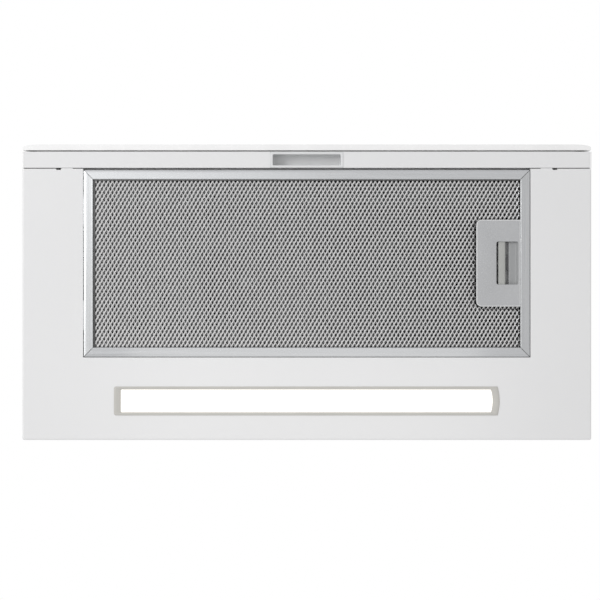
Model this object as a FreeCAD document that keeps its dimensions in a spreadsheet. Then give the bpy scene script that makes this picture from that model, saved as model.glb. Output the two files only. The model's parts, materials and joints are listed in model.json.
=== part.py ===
import FreeCAD, Part
import math
import os
import re

# A slim telescopic under cabinet range hood, millimetres.
# +X right, -Y towards the user, +Z up. The origin is the centre of the four-screw pattern on the
# canopy's top plane, which bolts up against the underside of the cabinet. The canopy hangs below
# z = 0 and the blower box stands above it, inside the cabinet.

doc = FreeCAD.newDocument("range_hood")
sheet = doc.addObject("Spreadsheet::Sheet", "Dims")

DIMENSIONS = (
    # canopy
    ("body_wide", 598, "canopy side to side"),
    ("body_deep", 285, "fixed canopy front to back"),
    ("body_high", 42, "canopy below the cabinet"),
    ("skin", 1, "painted steel sheet"),
    ("bend", 2.2, "outer radius of a folded edge"),
    ("front_lip", 6, "upturned front edge of the underside"),
    ("zinc", 1, "galvanised sheet"),
    ("fit", 0.1, "gap between sheets that touch"),
    ("plate_flange", 12, "turned-down edge of the top plate"),
    ("air_wide", 460, "air opening in the top plate, side to side"),
    ("air_front", 108, "air opening, forward of the origin"),
    ("air_back", 62, "air opening, behind the origin"),
    ("tab_wide", 12, "stop tab on the front lip"),
    ("tab_shift", 0.3, "stop tab outside the runner's inner face"),
    ("rivet_end", 34, "end rivets from the canopy's front and rear"),
    ("tab_out", 0.6, "how far a stop tab stands forward"),
    ("notch_wide", 5, "relief notch beside a stop tab"),
    ("notch_deep", 1.3, "relief notch depth"),
    # cabinet screws
    ("screw_span_wide", 562, "cabinet screws side to side"),
    ("screw_span_deep", 200, "cabinet screws front to back"),
    ("screw_hole", 2.25, "radius of a cabinet screw hole"),
    ("nut_side", 15, "clip nut side"),
    ("nut_thick", 2.4, "clip nut thickness"),
    ("nut_bore", 1.9, "clip nut bore radius"),
    # blower box
    ("box_wide", 526, "blower box side to side"),
    ("box_deep", 250, "blower box front to back"),
    ("box_high", 138, "blower box above the canopy"),
    ("box_flange", 9, "turned-out foot of the blower box"),
    ("lid_skirt", 12, "turned-down edge of the lid"),
    ("lid_screw_in", 53, "outer lid screws from the blower box's sides"),
    ("rivet", 1.6, "rivet shank radius"),
    ("rivet_head", 3.2, "rivet head radius"),
    ("rivet_cap", 0.9, "rivet head height"),
    # outlet collar and its damper
    ("duct", 60, "outer radius of the outlet spigot"),
    ("duct_wall", 2.5, "spigot wall"),
    ("duct_long", 40, "spigot length above its flange"),
    ("collar_margin", 15, "collar flange outside the spigot"),
    ("collar_thick", 3, "collar flange thickness"),
    ("collar_screw_in", 9, "collar screw from the flange edge"),
    ("spindle", 2, "damper spindle radius"),
    ("running", 0.08, "clearance of a pin that turns in a hole"),
    ("spindle_up", 9, "spindle height above the collar flange"),
    ("flap_gap", 0.8, "gap round a damper flap"),
    ("flap_thick", 1.5, "damper flap thickness"),
    ("knuckle", 3.8, "damper knuckle radius"),
    ("knuckle_long", 18, "damper knuckle length"),
    ("stop_wide", 3, "ledge that the flaps close on"),
    # blower
    ("fan_y", -24, "impeller axis from the origin, front to back"),
    ("fan_z", 68, "impeller axis height"),
    ("wheel", 46, "impeller radius"),
    ("wheel_long", 96, "impeller length"),
    ("blade_deep", 8, "impeller blade depth"),
    ("blade_thick", 1.2, "impeller blade thickness"),
    ("blade_count", 30, "impeller blades"),
    ("scroll", 58, "scroll housing radius"),
    ("scroll_long", 112, "scroll housing length"),
    ("scroll_wall", 2, "scroll housing wall"),
    ("scroll_rim", 6, "scroll outlet rim outside the spigot"),
    ("throat", 68, "scroll outlet front to back"),
    ("inlet", 38, "scroll inlet radius"),
    ("shaft", 4, "motor shaft radius"),
    ("motor", 33, "motor radius"),
    ("motor_long", 58, "motor length"),
    ("motor_off", 6, "gap from scroll to motor, bridged by the bracket"),
    ("shield", 6, "motor end shield thickness"),
    ("bearing", 11, "bearing outer radius"),
    ("bearing_wide", 7, "bearing width"),
    ("rotor", 18, "rotor radius"),
    ("rotor_long", 30, "rotor length"),
    # electrics
    ("capacitor", 15, "run capacitor radius"),
    ("capacitor_long", 58, "run capacitor length"),
    ("capacitor_in", 53, "capacitor from the blower box's side"),
    ("capacitor_fore", 55, "capacitor from the blower box's front"),
    ("junction_wide", 84, "junction box side to side"),
    ("junction_deep", 58, "junction box front to back"),
    ("junction_high", 34, "junction box height"),
    ("junction_in", 63, "junction box centre from the blower box's side"),
    ("junction_fore", 49, "junction box centre from the blower box's front"),
    ("gland", 8, "cable gland radius"),
    ("gland_bore", 3.6, "cable gland bore radius"),
    ("gland_long", 16, "cable gland above the lid"),
    ("driver_wide", 112, "lamp driver length"),
    ("driver_deep", 34, "lamp driver width"),
    ("driver_high", 22, "lamp driver height"),
    ("driver_in", 23, "lamp driver from the blower box's side"),
    ("driver_fore", 49, "lamp driver's front from the blower box's rear"),
    # lamp
    ("lamp_wide", 404.8, "lamp bezel side to side"),
    ("lamp_deep", 30.3, "lamp bezel front to back"),
    ("lamp_inset", 26.1, "lamp bezel from the rear edge"),
    ("lamp_proud", 0.8, "bezel below the underside"),
    ("lens_wide", 390, "lamp lens side to side"),
    ("lens_deep", 23.5, "lamp lens front to back"),
    ("lens_thick", 3.2, "lamp lens thickness"),
    ("bezel_lap", 2.6, "bezel over the edge of its cut-out"),
    ("bezel_high", 8, "bezel sleeve above the underside"),
    ("lamp_count", 26, "light-emitting diodes"),
    # telescopic runners
    ("travel", 170, "visor travel"),
    ("rail_off", 10.9, "inner face of a runner outside the filter"),
    ("rail_thick", 12.8, "runner thickness"),
    ("rail_long", 250, "runner length"),
    ("rail_high", 28, "runner height"),
    ("rail_wall", 1.2, "runner steel thickness"),
    ("rail_drop", 0.5, "runner centre below the canopy's middle"),
    ("rail_start", 3, "runner behind the front lip"),
    ("ball", 2, "ball radius"),
    ("ball_play", 0.25, "gap over a ball"),
    ("ball_pitch", 12.4, "ball spacing"),
    ("cage_long", 75, "ball cage length"),
    # visor
    ("seam", 0.9, "gap between the visor and the canopy"),
    ("strip_deep", 17, "front profile front to back"),
    ("strip_wall", 1.6, "front profile wall"),
    ("visor_drop", 1.5, "visor below the cabinet"),
    ("cap_thick", 2, "end cap thickness"),
    ("shadow", 1.6, "gap between the profile and the fascia"),
    ("fascia_wide", 597, "fascia side to side"),
    ("fascia_thick", 6.1, "fascia thickness"),
    ("fascia_rise", 0.6, "fascia above the underside"),
    ("fascia_sweep", 17, "fascia corner, along the front"),
    ("fascia_turn", 3.2, "fascia corner, front to back"),
    ("fascia_edge", 0.45, "fascia edge radius"),
    ("grip_wide", 76.5, "grip insert side to side"),
    ("grip_short", 1, "grip insert narrower than the profile"),
    ("grip_face", 0.9, "grip insert flange thickness"),
    ("grip_proud", 0.4, "grip insert below the profile"),
    ("grip_round", 1, "grip insert corner radius"),
    ("recess_wide", 71.4, "finger recess side to side"),
    ("recess_high", 15, "finger recess depth"),
    ("recess_round", 1.5, "finger recess inner radius"),
    ("pane_short", 11.1, "glass pane ends in front of the filter's rear"),
    ("pane_thick", 4, "glass pane thickness"),
    ("pane_clear", 0.3, "visor frame above the filter's latch cup"),
    ("arm_thick", 1.4, "visor arm sheet"),
    ("arm_high", 12, "visor arm height"),
    ("ledge", 8, "ledge under the glass pane"),
    # buttons
    ("button", 4, "button radius"),
    ("button_play", 0.3, "gap round a button"),
    ("button_proud", 0.5, "button in front of the fascia"),
    ("button_travel", 1.2, "button travel"),
    ("button_pitch", 20, "button spacing"),
    ("button_end", 94, "middle button from the right end"),
    ("stem", 2.4, "button stem radius"),
    # grease filter
    ("filter_wide", 468.6, "grease filter side to side"),
    ("filter_deep", 196.3, "grease filter front to back"),
    ("filter_thick", 9, "grease filter thickness"),
    ("filter_set", 1.3, "grease filter behind the front edge"),
    ("filter_gap", 0.5, "gap round the grease filter"),
    ("frame_face", 9.9, "filter frame face width"),
    ("foil", 0.8, "filter frame sheet"),
    ("mesh_play", 0.3, "gap round the mesh"),
    ("mesh_thick", 0.8, "one expanded mesh layer"),
    ("mesh_set", 3, "face mesh layer behind the frame's face"),
    ("tongue_wide", 30, "hinge tongue width"),
    ("tongue_out", 7.6, "hinge tongue reach"),
    ("tongue_thick", 1, "hinge tongue thickness"),
    ("tongue_span", 110, "hinge tongue spacing"),
    # latch
    ("latch_wide", 46.2, "latch plate side to side"),
    ("latch_deep", 91.2, "latch plate front to back"),
    ("latch_set", 97.8, "latch plate centre behind the filter's front"),
    ("latch_face", 1.1, "latch plate thickness"),
    ("latch_round", 5.5, "latch plate corner radius"),
    ("cup_wide", 38, "latch cup side to side"),
    ("cup_deep", 64, "latch cup front to back"),
    ("cup_proud", 1.5, "latch cup above the filter"),
    ("cup_wall", 1.2, "latch cup wall"),
    ("finger_wide", 23.4, "finger recess of the latch"),
    ("finger_deep", 45, "finger recess of the latch"),
    ("finger_edge", 1.8, "plate right of the finger recess"),
    ("finger_shift", -0.1, "finger recess centre from the latch plate centre"),
    ("bar_wide", 7.6, "latch finger bar side to side"),
    ("bar_long", 46, "latch finger bar front to back"),
    ("ramp_set", 13.6, "finger ramp from the recess's left edge"),
    ("ramp_past", 4, "finger ramp past the recess's ends"),
    ("ramp_wall", 2.6, "steep end of the finger ramp"),
    ("ramp_rise", 0.5, "fall of the finger ramp towards its deep end"),
    ("ramp_thick", 0.7, "finger ramp wall"),
    ("bolt_wide", 14, "latch bolt width"),
    ("bolt_thick", 1.5, "latch bolt thickness"),
    ("bolt_travel", 6.4, "latch bolt travel"),
    ("spring_short", 7.8, "latch spring when pressed"),
    ("spring", 2, "latch spring radius"),
    ("spring_wire", 0.35, "latch spring wire radius"),
    ("stop_gap", 0.3, "shut damper flap to its stop ledge"),
    ("stop_thick", 2, "stop ledge thickness"),
    ("spindle_play", 0.4, "spindle short of the collar's outside at each end"),
    ("head_extra", 0.4, "screw head radius over a rivet's"),
    ("screw_high", 2, "screw head height"),
    ("screw_dome", 1.2, "screw head rounding"),
    ("knuckle_play", 0.5, "flap's straight edge to the knuckles"),
    ("lid_play", 0.2, "scroll top to the lid"),
    ("ring_wide", 1.6, "impeller end ring width"),
    ("blade_set", 0.4, "blade tips inside the wheel's rim"),
    ("disc_thick", 3, "impeller disc thickness"),
    ("boss", 9, "impeller boss radius"),
    ("boss_long", 26, "impeller boss length"),
    ("air_gap", 0.6, "rotor to stator"),
    ("cover_thick", 2.5, "junction cover thickness"),
    ("junction_wall", 2, "junction box wall"),
    ("lens_set", 0.2, "lens behind the bezel's face"),
    ("board_thick", 1.6, "circuit board thickness"),
    ("diode", 2.8, "diode package side"),
    ("diode_high", 0.7, "diode package height"),
    ("diode_in", 12, "first diode from the lens end"),
    ("tray_high", 6, "heat sink height"),
    ("tray_floor", 2, "heat sink floor"),
    ("fin_pitch", 4.4, "heat sink fin pitch"),
    ("fin_gap", 2.4, "heat sink gap between fins"),
    ("slider_play", 2.2, "slider lips to the outer member's web"),
    ("cage_in", 2.6, "ball cage from the slider's inside"),
    ("cage_play", 0.6, "ball cage to the outer member's web"),
    ("cage_thick", 0.8, "ball cage sheet"),
    ("ball_first", 6.5, "first ball from the cage's end"),
    ("ball_in", 6.4, "ball centres from the slider's inside"),
    ("hanger_thick", 1.5, "runner hanger sheet"),
    ("hanger_foot", 13, "runner hanger foot width"),
    ("stem_play", 0.5, "button stem clearance in the profile"),
    ("fascia_drop", 0.4, "fascia top below the profile's top"),
    ("rib_in", 14, "fascia rib from the fascia's end"),
    ("rib_high", 3, "fascia rib height"),
    ("switch_set", 5.2, "switch plunger behind the profile's front"),
    ("switch_body", 3.6, "switch body depth"),
    ("switch_front_gap", 1, "plunger tip to switch body"),
    ("switch_half", 3, "half a switch body's side"),
    ("board_half", 11, "half the control board's height"),
    ("pane_play", 0.4, "glass pane to its frame"),
    ("visor_switch_in", 9.2, "visor switch from the left slider"),
    ("cup_edge", 0.4, "latch cup inside the plate's edge"),
    ("bolt_short", 0.25, "bolt tip short of the opening's edge"),
    ("cup_play", 0.6, "mesh to the latch cup"),
    ("bolt_play", 0.4, "bolt clearance in its slots"),
    ("tongue_rise", 0.2, "hinge tongue above the sheet"),
    ("bar_gap", 0.3, "finger bar above the face plate"),
    ("ramp_end", 0.9, "finger ramp end wall"),
    ("spring_gap", 0.1, "spring to its seats"),
)
for row, (alias, value, note) in enumerate(DIMENSIONS, start=1):
    sheet.set(f"A{row}", note)
    sheet.set(f"B{row}", str(value))
    sheet.setAlias(f"B{row}", alias)
doc.recompute()

NAMES = {alias for alias, value, note in DIMENSIONS}
V = FreeCAD.Vector


def bound(text):
    """The expression with every dimension's name given its sheet."""
    return re.sub(r"[a-z_]+", lambda word: "Dims." + word.group(0) if word.group(0) in NAMES
                  else word.group(0), str(text))


def size(text):
    """The value of an expression, for the shapes that Part's own functions make."""
    return float(sheet.evalExpression(bound(text)))


def place(solid, corner):
    for axis, text in zip("xyz", corner):
        solid.setExpression(f"Placement.Base.{axis}", bound(text))


def box(name, corner, sides):
    """A block from its lowest corner and its three sides."""
    solid = doc.addObject("Part::Box", name)
    for side, text in zip(("Length", "Width", "Height"), sides):
        solid.setExpression(side, bound(text))
    place(solid, corner)
    return solid


def span(name, across, along, up):
    """A block from its two limits on each axis."""
    limits = (across, along, up)
    return box(name, [low for low, high in limits], [f"({high})-({low})" for low, high in limits])


TURNS = {"x": FreeCAD.Rotation(V(0, 1, 0), 90), "y": FreeCAD.Rotation(V(1, 0, 0), -90),
         "z": FreeCAD.Rotation()}


def rod(name, centre, radius, length, axis="z"):
    """A cylinder that starts at centre and runs along +axis."""
    solid = doc.addObject("Part::Cylinder", name)
    solid.setExpression("Radius", bound(radius))
    solid.setExpression("Height", bound(length))
    solid.Placement = FreeCAD.Placement(V(), TURNS[axis])
    place(solid, centre)
    return solid


def fuse(name, solids):
    joined = doc.addObject("Part::MultiFuse", name)
    joined.Shapes = solids
    joined.Refine = True
    return joined


def cut(name, base, tools):
    """Base less its tools, taken away together."""
    tool = tools[0] if len(tools) == 1 else fuse(name + "_tools", tools)
    result = doc.addObject("Part::Cut", name)
    result.Base = base
    result.Tool = tool
    result.Refine = True
    return result


def rounded(name, base, radius, wanted):
    """Base with a radius on the edges that wanted picks."""
    doc.recompute()
    value = size(radius)
    edges = [(number, value, value) for number, edge in enumerate(base.Shape.Edges, start=1)
             if wanted(edge)]
    result = doc.addObject("Part::Fillet", name)
    result.Base = base
    result.Edges = edges
    return result


def feature(name, shape, placement=FreeCAD.Placement()):
    """A shape made with Part's own functions."""
    solid = doc.addObject("Part::Feature", name)
    solid.Shape = shape
    solid.Placement = placement
    return solid


def runs(edge, axis):
    """True where an edge is straight and parallel to an axis."""
    if not isinstance(edge.Curve, Part.Line):
        return False
    return abs(abs(getattr(edge.Curve.Direction, axis)) - 1) < 1e-6


def mid(edge):
    box_of = edge.BoundBox
    return V(box_of.Center)


nodes = {}


def node(name, solid):
    """Names a finished sub-part."""
    solid.Label = name
    nodes[name] = solid
    return solid


def group(name, solids):
    """Identical pieces that share one node."""
    joined = doc.addObject("Part::Compound", name)
    joined.Links = solids
    return node(name, joined)


# places that several pieces share
SIDE = "(body_wide/2)"
FRONT = "(-body_deep/2)"
BACK = "(body_deep/2)"
LOW = "(-body_high)"
FLOOR = f"({LOW}+skin)"
STRIP_BACK = f"({FRONT}-seam)"
STRIP_FRONT = f"({STRIP_BACK}-strip_deep)"
FASCIA_BACK = f"({STRIP_FRONT}-shadow)"
FASCIA_FRONT = f"({FASCIA_BACK}-fascia_thick)"
LID_TOP = "(box_high+zinc)"
FLANGE_TOP = f"({LID_TOP}+collar_thick)"
FILTER_FRONT = f"({FRONT}+filter_set)"
FILTER_BACK = f"({FILTER_FRONT}+filter_deep)"
FILTER_TOP = f"({LOW}+filter_thick)"
LAMP_BACK = f"({BACK}-lamp_inset)"
LAMP_FRONT = f"({LAMP_BACK}-lamp_deep)"
LAMP_MID = f"({LAMP_BACK}-lamp_deep/2)"
RAIL_FRONT = f"({FRONT}+rail_start)"
LATCH_RIGHT = "(filter_wide/2-frame_face-fit)"
OPEN_SIDE = "(filter_wide/2+filter_gap)"
RAIL_IN = "(filter_wide/2+rail_off)"
RAIL_MID = "(-body_high/2-rail_drop)"
RAIL_ROOF = f"({RAIL_MID}+rail_high/2)"
RAIL_OUTER = f"({RAIL_IN}+rail_thick)"
TAB_IN = f"({RAIL_IN}+tab_shift)"
COLLAR_SIDE = "(2*duct+2*collar_margin)"
JUNCTION_X = "(box_wide/2-junction_in)"
JUNCTION_Y = "(-box_deep/2+junction_fore)"
GRIP_DEEP = "(strip_deep-grip_short)"
RECESS_DEEP = "(strip_deep-2*strip_wall-2*grip_face-2*fit)"
CUP_HIGH = "(filter_thick+cup_proud)"
PANE_LOW = f"({LOW}+{CUP_HIGH}+arm_thick+pane_clear)"
PANE_BACK = f"({FILTER_BACK}-pane_short)"
LATCH_MID = f"({FILTER_FRONT}+latch_set)"
FINGER_MID = f"({LATCH_MID}+finger_shift)"
BUTTON_X = f"({SIDE}-button_end)"
CAPACITOR_X = "(-box_wide/2+capacitor_in)"
CAPACITOR_Y = "(-box_deep/2+capacitor_fore)"
GRIP_MID = f"({STRIP_FRONT}+strip_deep/2)"
SIDES = (("left", -1), ("right", 1))


def mirrored(sign, inner, outer):
    """Limits on X at distances inner and outer from the middle, on the side of sign."""
    return (inner, outer) if sign > 0 else (f"-({outer})", f"-({inner})")


RIVETS = [(sign, along) for sign in (-1, 1) for along in (f"{FRONT}+rivet_end", "0", f"{BACK}-rivet_end")]
RIVET_Z = "(-zinc-plate_flange/2)"


def rivet_holes(name):
    """Holes for the rivets that hold the top plate in the canopy."""
    return [rod(f"{name}_hole_{number}", (f"{sign}*{SIDE}-4", along, RIVET_Z), "rivet", "8", "x")
            for number, (sign, along) in enumerate(RIVETS)]


def make_canopy():
    """The painted underside and its sides, folded from one sheet."""
    block = span("canopy_block", (f"-{SIDE}", SIDE), (FRONT, BACK), (LOW, "0"))

    def folded(edge):
        spot = mid(edge)
        low = abs(spot.z - size(LOW)) < 1e-6
        back = abs(spot.y - size(BACK)) < 1e-6
        side = abs(abs(spot.x) - size(SIDE)) < 1e-6
        return (low and (back or side)) or (back and side)

    outside = rounded("canopy_outside", block, "bend", folded)
    room = span("canopy_room", (f"-{SIDE}+skin", f"{SIDE}-skin"), (f"{FRONT}+skin", f"{BACK}-skin"),
                (FLOOR, "1"))

    def inner_fold(edge):
        spot = mid(edge)
        low = abs(spot.z - size(FLOOR)) < 1e-6
        back = abs(spot.y - size(f"{BACK}-skin")) < 1e-6
        side = abs(abs(spot.x) - size(f"{SIDE}-skin")) < 1e-6
        return (low and (back or side)) or (back and side)

    inside = rounded("canopy_inside", room, "bend-skin", inner_fold)
    mouth = span("canopy_mouth", (f"-{SIDE}+skin", f"{SIDE}-skin"), (f"{FRONT}-1", f"{FRONT}+skin+1"),
                 (f"{LOW}+front_lip", "1"))
    filter_hole = span("canopy_filter_hole", (f"-{OPEN_SIDE}", OPEN_SIDE),
                       (f"{FRONT}-1", f"{FILTER_BACK}+filter_gap"), (f"{LOW}-1", f"{LOW}+front_lip+1"))
    lamp_hole = span("canopy_lamp_hole", ("-lamp_wide/2+bezel_lap", "lamp_wide/2-bezel_lap"),
                     (f"{LAMP_FRONT}+bezel_lap", f"{LAMP_BACK}-bezel_lap"), (f"{LOW}-1", f"{FLOOR}+1"))
    tools = [inside, mouth, filter_hole, lamp_hole] + rivet_holes("canopy")
    for side, sign in SIDES:
        start = f"{TAB_IN}+tab_wide+0.5"
        tools.append(span(f"canopy_notch_{side}", mirrored(sign, start, f"{start}+notch_wide"),
                          (f"{FRONT}-1", f"{FRONT}+notch_deep"), (f"{LOW}-1", f"{LOW}+front_lip+1")))
    folded_sheet = cut("canopy_folded", outside, tools)
    tabs = [span(f"canopy_tab_{side}", mirrored(sign, TAB_IN, f"{TAB_IN}+tab_wide"),
                 (f"{FRONT}-tab_out", f"{FRONT}+skin"), (LOW, FLOOR)) for side, sign in SIDES]
    node("canopy_shell", fuse("canopy_shell", [folded_sheet] + tabs))


def screw_places():
    return [(f"{sx}*screw_span_wide/2", f"{sy}*screw_span_deep/2") for sx in (-1, 1) for sy in (-1, 1)]


def make_top_plate():
    """The galvanised plate that closes the canopy and carries everything else."""
    edge = f"{SIDE}-skin-fit"
    plate = span("plate_flat", (f"-({edge})", edge), (f"{FRONT}+2", f"{BACK}-skin-fit"), ("-zinc", "0"))
    flat = rounded("plate_flat_round", plate, "bend", lambda edge: runs(edge, "z"))
    turned = [span(f"plate_edge_{side}", mirrored(sign, f"{edge}-zinc", edge),
                   (f"{FRONT}+2", f"{BACK}-skin-bend"), ("-zinc-plate_flange", "-zinc"))
              for side, sign in SIDES]
    front = span("plate_edge_front", (f"-({edge})+3", f"{edge}-3"), (f"{FRONT}+2", f"{FRONT}+2+zinc"),
                 (f"{RAIL_ROOF}+1", "-zinc"))
    holes = [rod(f"plate_screw_hole_{number}", (x, y, "-zinc-1"), "screw_hole", "zinc+2")
             for number, (x, y) in enumerate(screw_places())]
    air = span("plate_air", ("-air_wide/2", "air_wide/2"), ("-air_front", "air_back"), ("-5", "5"))
    corners = rounded("plate_air_round", air, "6", lambda edge: runs(edge, "z"))
    solid = fuse("plate_solid", [flat, front] + turned)
    node("top_plate", cut("top_plate", solid, holes + [corners] + rivet_holes("plate")))


def make_rivets():
    """Blind rivets through the canopy's sides into the top plate."""
    pieces = []
    for number, (sign, along) in enumerate(RIVETS):
        inner = f"{SIDE}-skin-fit-zinc-rivet_cap"
        outer = SIDE
        low, high = mirrored(sign, inner, outer)
        shank = rod(f"rivet_shank_{number}", (low, along, RIVET_Z), "rivet-fit/2", f"({high})-({low})", "x")
        head_low = mirrored(sign, outer, f"{outer}+rivet_cap")[0]
        head = rod(f"rivet_head_{number}", (head_low, along, RIVET_Z), "rivet_head", "rivet_cap", "x")
        tail_low = mirrored(sign, inner, f"{inner}+rivet_cap")[0]
        tail = rod(f"rivet_tail_{number}", (tail_low, along, RIVET_Z), "rivet+0.6", "rivet_cap", "x")
        pieces.append(fuse(f"rivet_{number}", [shank, head, tail]))
    group("canopy_rivets", pieces)


def make_clip_nuts():
    """Spring nuts under the top plate for the four cabinet screws."""
    pieces = []
    for number, (x, y) in enumerate(screw_places()):
        body = box(f"nut_body_{number}", (f"{x}-nut_side/2", f"{y}-nut_side/2", "-zinc-nut_thick"),
                   ("nut_side", "nut_side", "nut_thick"))
        soft = rounded(f"nut_soft_{number}", body, "2", lambda edge: runs(edge, "z"))
        bore = rod(f"nut_bore_{number}", (x, y, "-zinc-nut_thick-1"), "nut_bore", "nut_thick+2")
        pieces.append(cut(f"nut_{number}", soft, [bore]))
    group("clip_nuts", pieces)


def make_blower_box():
    """Four walls with a foot that sits on the top plate, and a lid."""
    outer = span("box_outer", ("-box_wide/2", "box_wide/2"), ("-box_deep/2", "box_deep/2"),
                 ("0", "box_high"))
    soft = rounded("box_soft", outer, "bend", lambda edge: runs(edge, "z"))
    foot = span("box_foot", ("-box_wide/2-box_flange", "box_wide/2+box_flange"),
                ("-box_deep/2-box_flange", "box_deep/2+box_flange"), ("0", "zinc"))
    room = span("box_room", ("-box_wide/2+zinc", "box_wide/2-zinc"),
                ("-box_deep/2+zinc", "box_deep/2-zinc"), ("-1", "box_high+1"))
    inner = rounded("box_inner", room, "bend-zinc", lambda edge: runs(edge, "z"))
    pilots = lid_screw_rods("box_pilot", "rivet", "box_deep/2-zinc-1", "zinc+2")
    node("blower_box", cut("blower_box", fuse("box_solid", [soft, foot]), [inner] + pilots))
    cap = span("lid_block", ("-box_wide/2-fit-zinc", "box_wide/2+fit+zinc"),
               ("-box_deep/2-fit-zinc", "box_deep/2+fit+zinc"), ("box_high-lid_skirt", LID_TOP))
    top = size(LID_TOP)
    soft_cap = rounded("lid_soft", cap, "bend",
                       lambda edge: runs(edge, "z") or abs(mid(edge).z - top) < 1e-6)
    hollow = span("lid_room", ("-box_wide/2-fit", "box_wide/2+fit"), ("-box_deep/2-fit", "box_deep/2+fit"),
                  ("box_high-lid_skirt-1", "box_high"))
    outlet = rod("lid_outlet", ("0", "0", "box_high-1"), "duct-duct_wall", "zinc+2")
    inlet = rod("lid_cable_hole", (JUNCTION_X, JUNCTION_Y, "box_high-1"), "gland-2+fit", "zinc+2")
    pilots = lid_screw_rods("lid_pilot_side", "rivet", "box_deep/2", "zinc+2")
    pilots += [rod(f"lid_pilot_{number}", (x, y, "box_high-1"), "rivet", "zinc+2")
              for number, (x, y) in enumerate(collar_screws())]
    node("blower_lid", cut("blower_lid", soft_cap, [hollow, outlet, inlet] + pilots))


def lid_screw_rods(name, radius, start, length):
    """Round pieces along the lid screws' axes, from start outwards on the front and the back."""
    rods = []
    for number, across in enumerate((-1, 0, 1)):
        x = f"{across}*(box_wide/2-lid_screw_in)"
        z = "box_high-lid_skirt/2"
        rods.append(rod(f"{name}_back_{number}", (x, start, z), radius, length, "y"))
        rods.append(rod(f"{name}_front_{number}", (x, f"-({start})-({length})", z), radius, length, "y"))
    return rods


def make_lid_screws():
    """Six pan-head screws through the lid's skirt into the blower box."""
    face = "box_deep/2+fit+zinc"
    shanks = lid_screw_rods("lid_screw_shank", "rivet-fit", f"{face}-6", "6")
    heads = lid_screw_rods("lid_screw_head", "rivet_head", face, "1.8")
    group("lid_screws", [fuse(f"lid_screw_{number}", list(pair))
                         for number, pair in enumerate(zip(shanks, heads))])


def collar_screws():
    reach = f"({COLLAR_SIDE}/2-collar_screw_in)"
    return [(f"{sx}*{reach}", f"{sy}*{reach}") for sx in (-1, 1) for sy in (-1, 1)]


SPINDLE_Z = f"({FLANGE_TOP}+spindle_up)"
FLAP_R = "(duct-duct_wall-flap_gap)"


def make_collar():
    """The outlet spigot for the duct, with the ledge its flaps close on."""
    flange = box("collar_flange", (f"-{COLLAR_SIDE}/2", f"-{COLLAR_SIDE}/2", LID_TOP),
                 (COLLAR_SIDE, COLLAR_SIDE, "collar_thick"))
    soft = rounded("collar_soft", flange, "9", lambda edge: runs(edge, "z"))
    tube = rod("collar_tube", ("0", "0", LID_TOP), "duct", "collar_thick+duct_long")
    bore = rod("collar_bore", ("0", "0", f"{LID_TOP}-1"), "duct-duct_wall", "collar_thick+duct_long+2")
    shell = fuse("collar_solid", [soft, tube])
    pilots = [rod(f"collar_pilot_{number}", (x, y, f"{LID_TOP}-1"), "rivet", "collar_thick+2")
              for number, (x, y) in enumerate(collar_screws())]
    seats = rod("collar_seat", ("-duct-1", "0", SPINDLE_Z), "spindle", "2*duct+2", "x")
    open_tube = cut("collar_open", shell, [bore] + pilots)
    ring = rod("collar_ring", ("0", "0", f"{SPINDLE_Z}-flap_thick/2-stop_gap-stop_thick"),
               "duct-duct_wall/2", "stop_thick")
    ring_hole = rod("collar_ring_hole", ("0", "0", f"{SPINDLE_Z}-9"), "duct-duct_wall-stop_wide", "18")
    ledge = cut("collar_ledge", ring, [ring_hole])
    gaps = [span(f"collar_ledge_gap_{side}", mirrored(sign, "duct-duct_wall-stop_wide-2", "duct-duct_wall"),
                 ("-knuckle-1", "knuckle+1"), (f"{SPINDLE_Z}-8", f"{SPINDLE_Z}+3")) for side, sign in SIDES]
    broken = cut("collar_ledge_broken", ledge, gaps)
    node("outlet_collar", cut("outlet_collar", fuse("collar_joined", [open_tube, broken]), [seats]))
    node("damper_spindle", rod("damper_spindle", ("-duct+spindle_play", "0", SPINDLE_Z),
                               "spindle", "2*duct-2*spindle_play", "x"))
    screws = []
    for number, (x, y) in enumerate(collar_screws()):
        head = rod(f"collar_screw_head_{number}", (x, y, FLANGE_TOP), "rivet_head+head_extra", "screw_high")
        domed = rounded(f"collar_screw_dome_{number}", head, "screw_dome",
                        lambda edge: abs(mid(edge).z - size(f"{FLANGE_TOP}+screw_high")) < 1e-6)
        shank = rod(f"collar_screw_shank_{number}", (x, y, f"{LID_TOP}-9"), "rivet-fit", "collar_thick+9")
        screws.append(fuse(f"collar_screw_{number}", [domed, shank]))
    group("collar_screws", screws)


def make_flap(name, sign):
    """One half-round damper flap with two knuckles on the shared spindle."""
    disc = rod(f"{name}_disc", ("0", "0", f"{SPINDLE_Z}-flap_thick/2"), FLAP_R, "flap_thick")
    keep = span(f"{name}_keep", ("-duct", "duct"), mirrored(sign, "knuckle+knuckle_play", "duct+1"),
                (f"{SPINDLE_Z}-3", f"{SPINDLE_Z}+3"))
    half = doc.addObject("Part::Common", f"{name}_half")
    half.Base = disc
    half.Tool = keep
    parts = [half]
    starts = ("-40", "4") if sign < 0 else ("-40+knuckle_long+fit*4", "4+knuckle_long+fit*4")
    for number, start in enumerate(starts):
        parts.append(rod(f"{name}_barrel_{number}", (start, "0", SPINDLE_Z), "knuckle", "knuckle_long",
                         "x"))
        low, high = mirrored(sign, "0", "knuckle+2")
        parts.append(span(f"{name}_web_{number}", (start, f"{start}+knuckle_long"), (low, high),
                          (f"{SPINDLE_Z}-flap_thick/2", f"{SPINDLE_Z}+flap_thick/2")))
    bore = rod(f"{name}_bore", ("-duct", "0", SPINDLE_Z), "spindle+running", "2*duct", "x")
    node(name, cut(name, fuse(f"{name}_solid", parts), [bore]))


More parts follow.
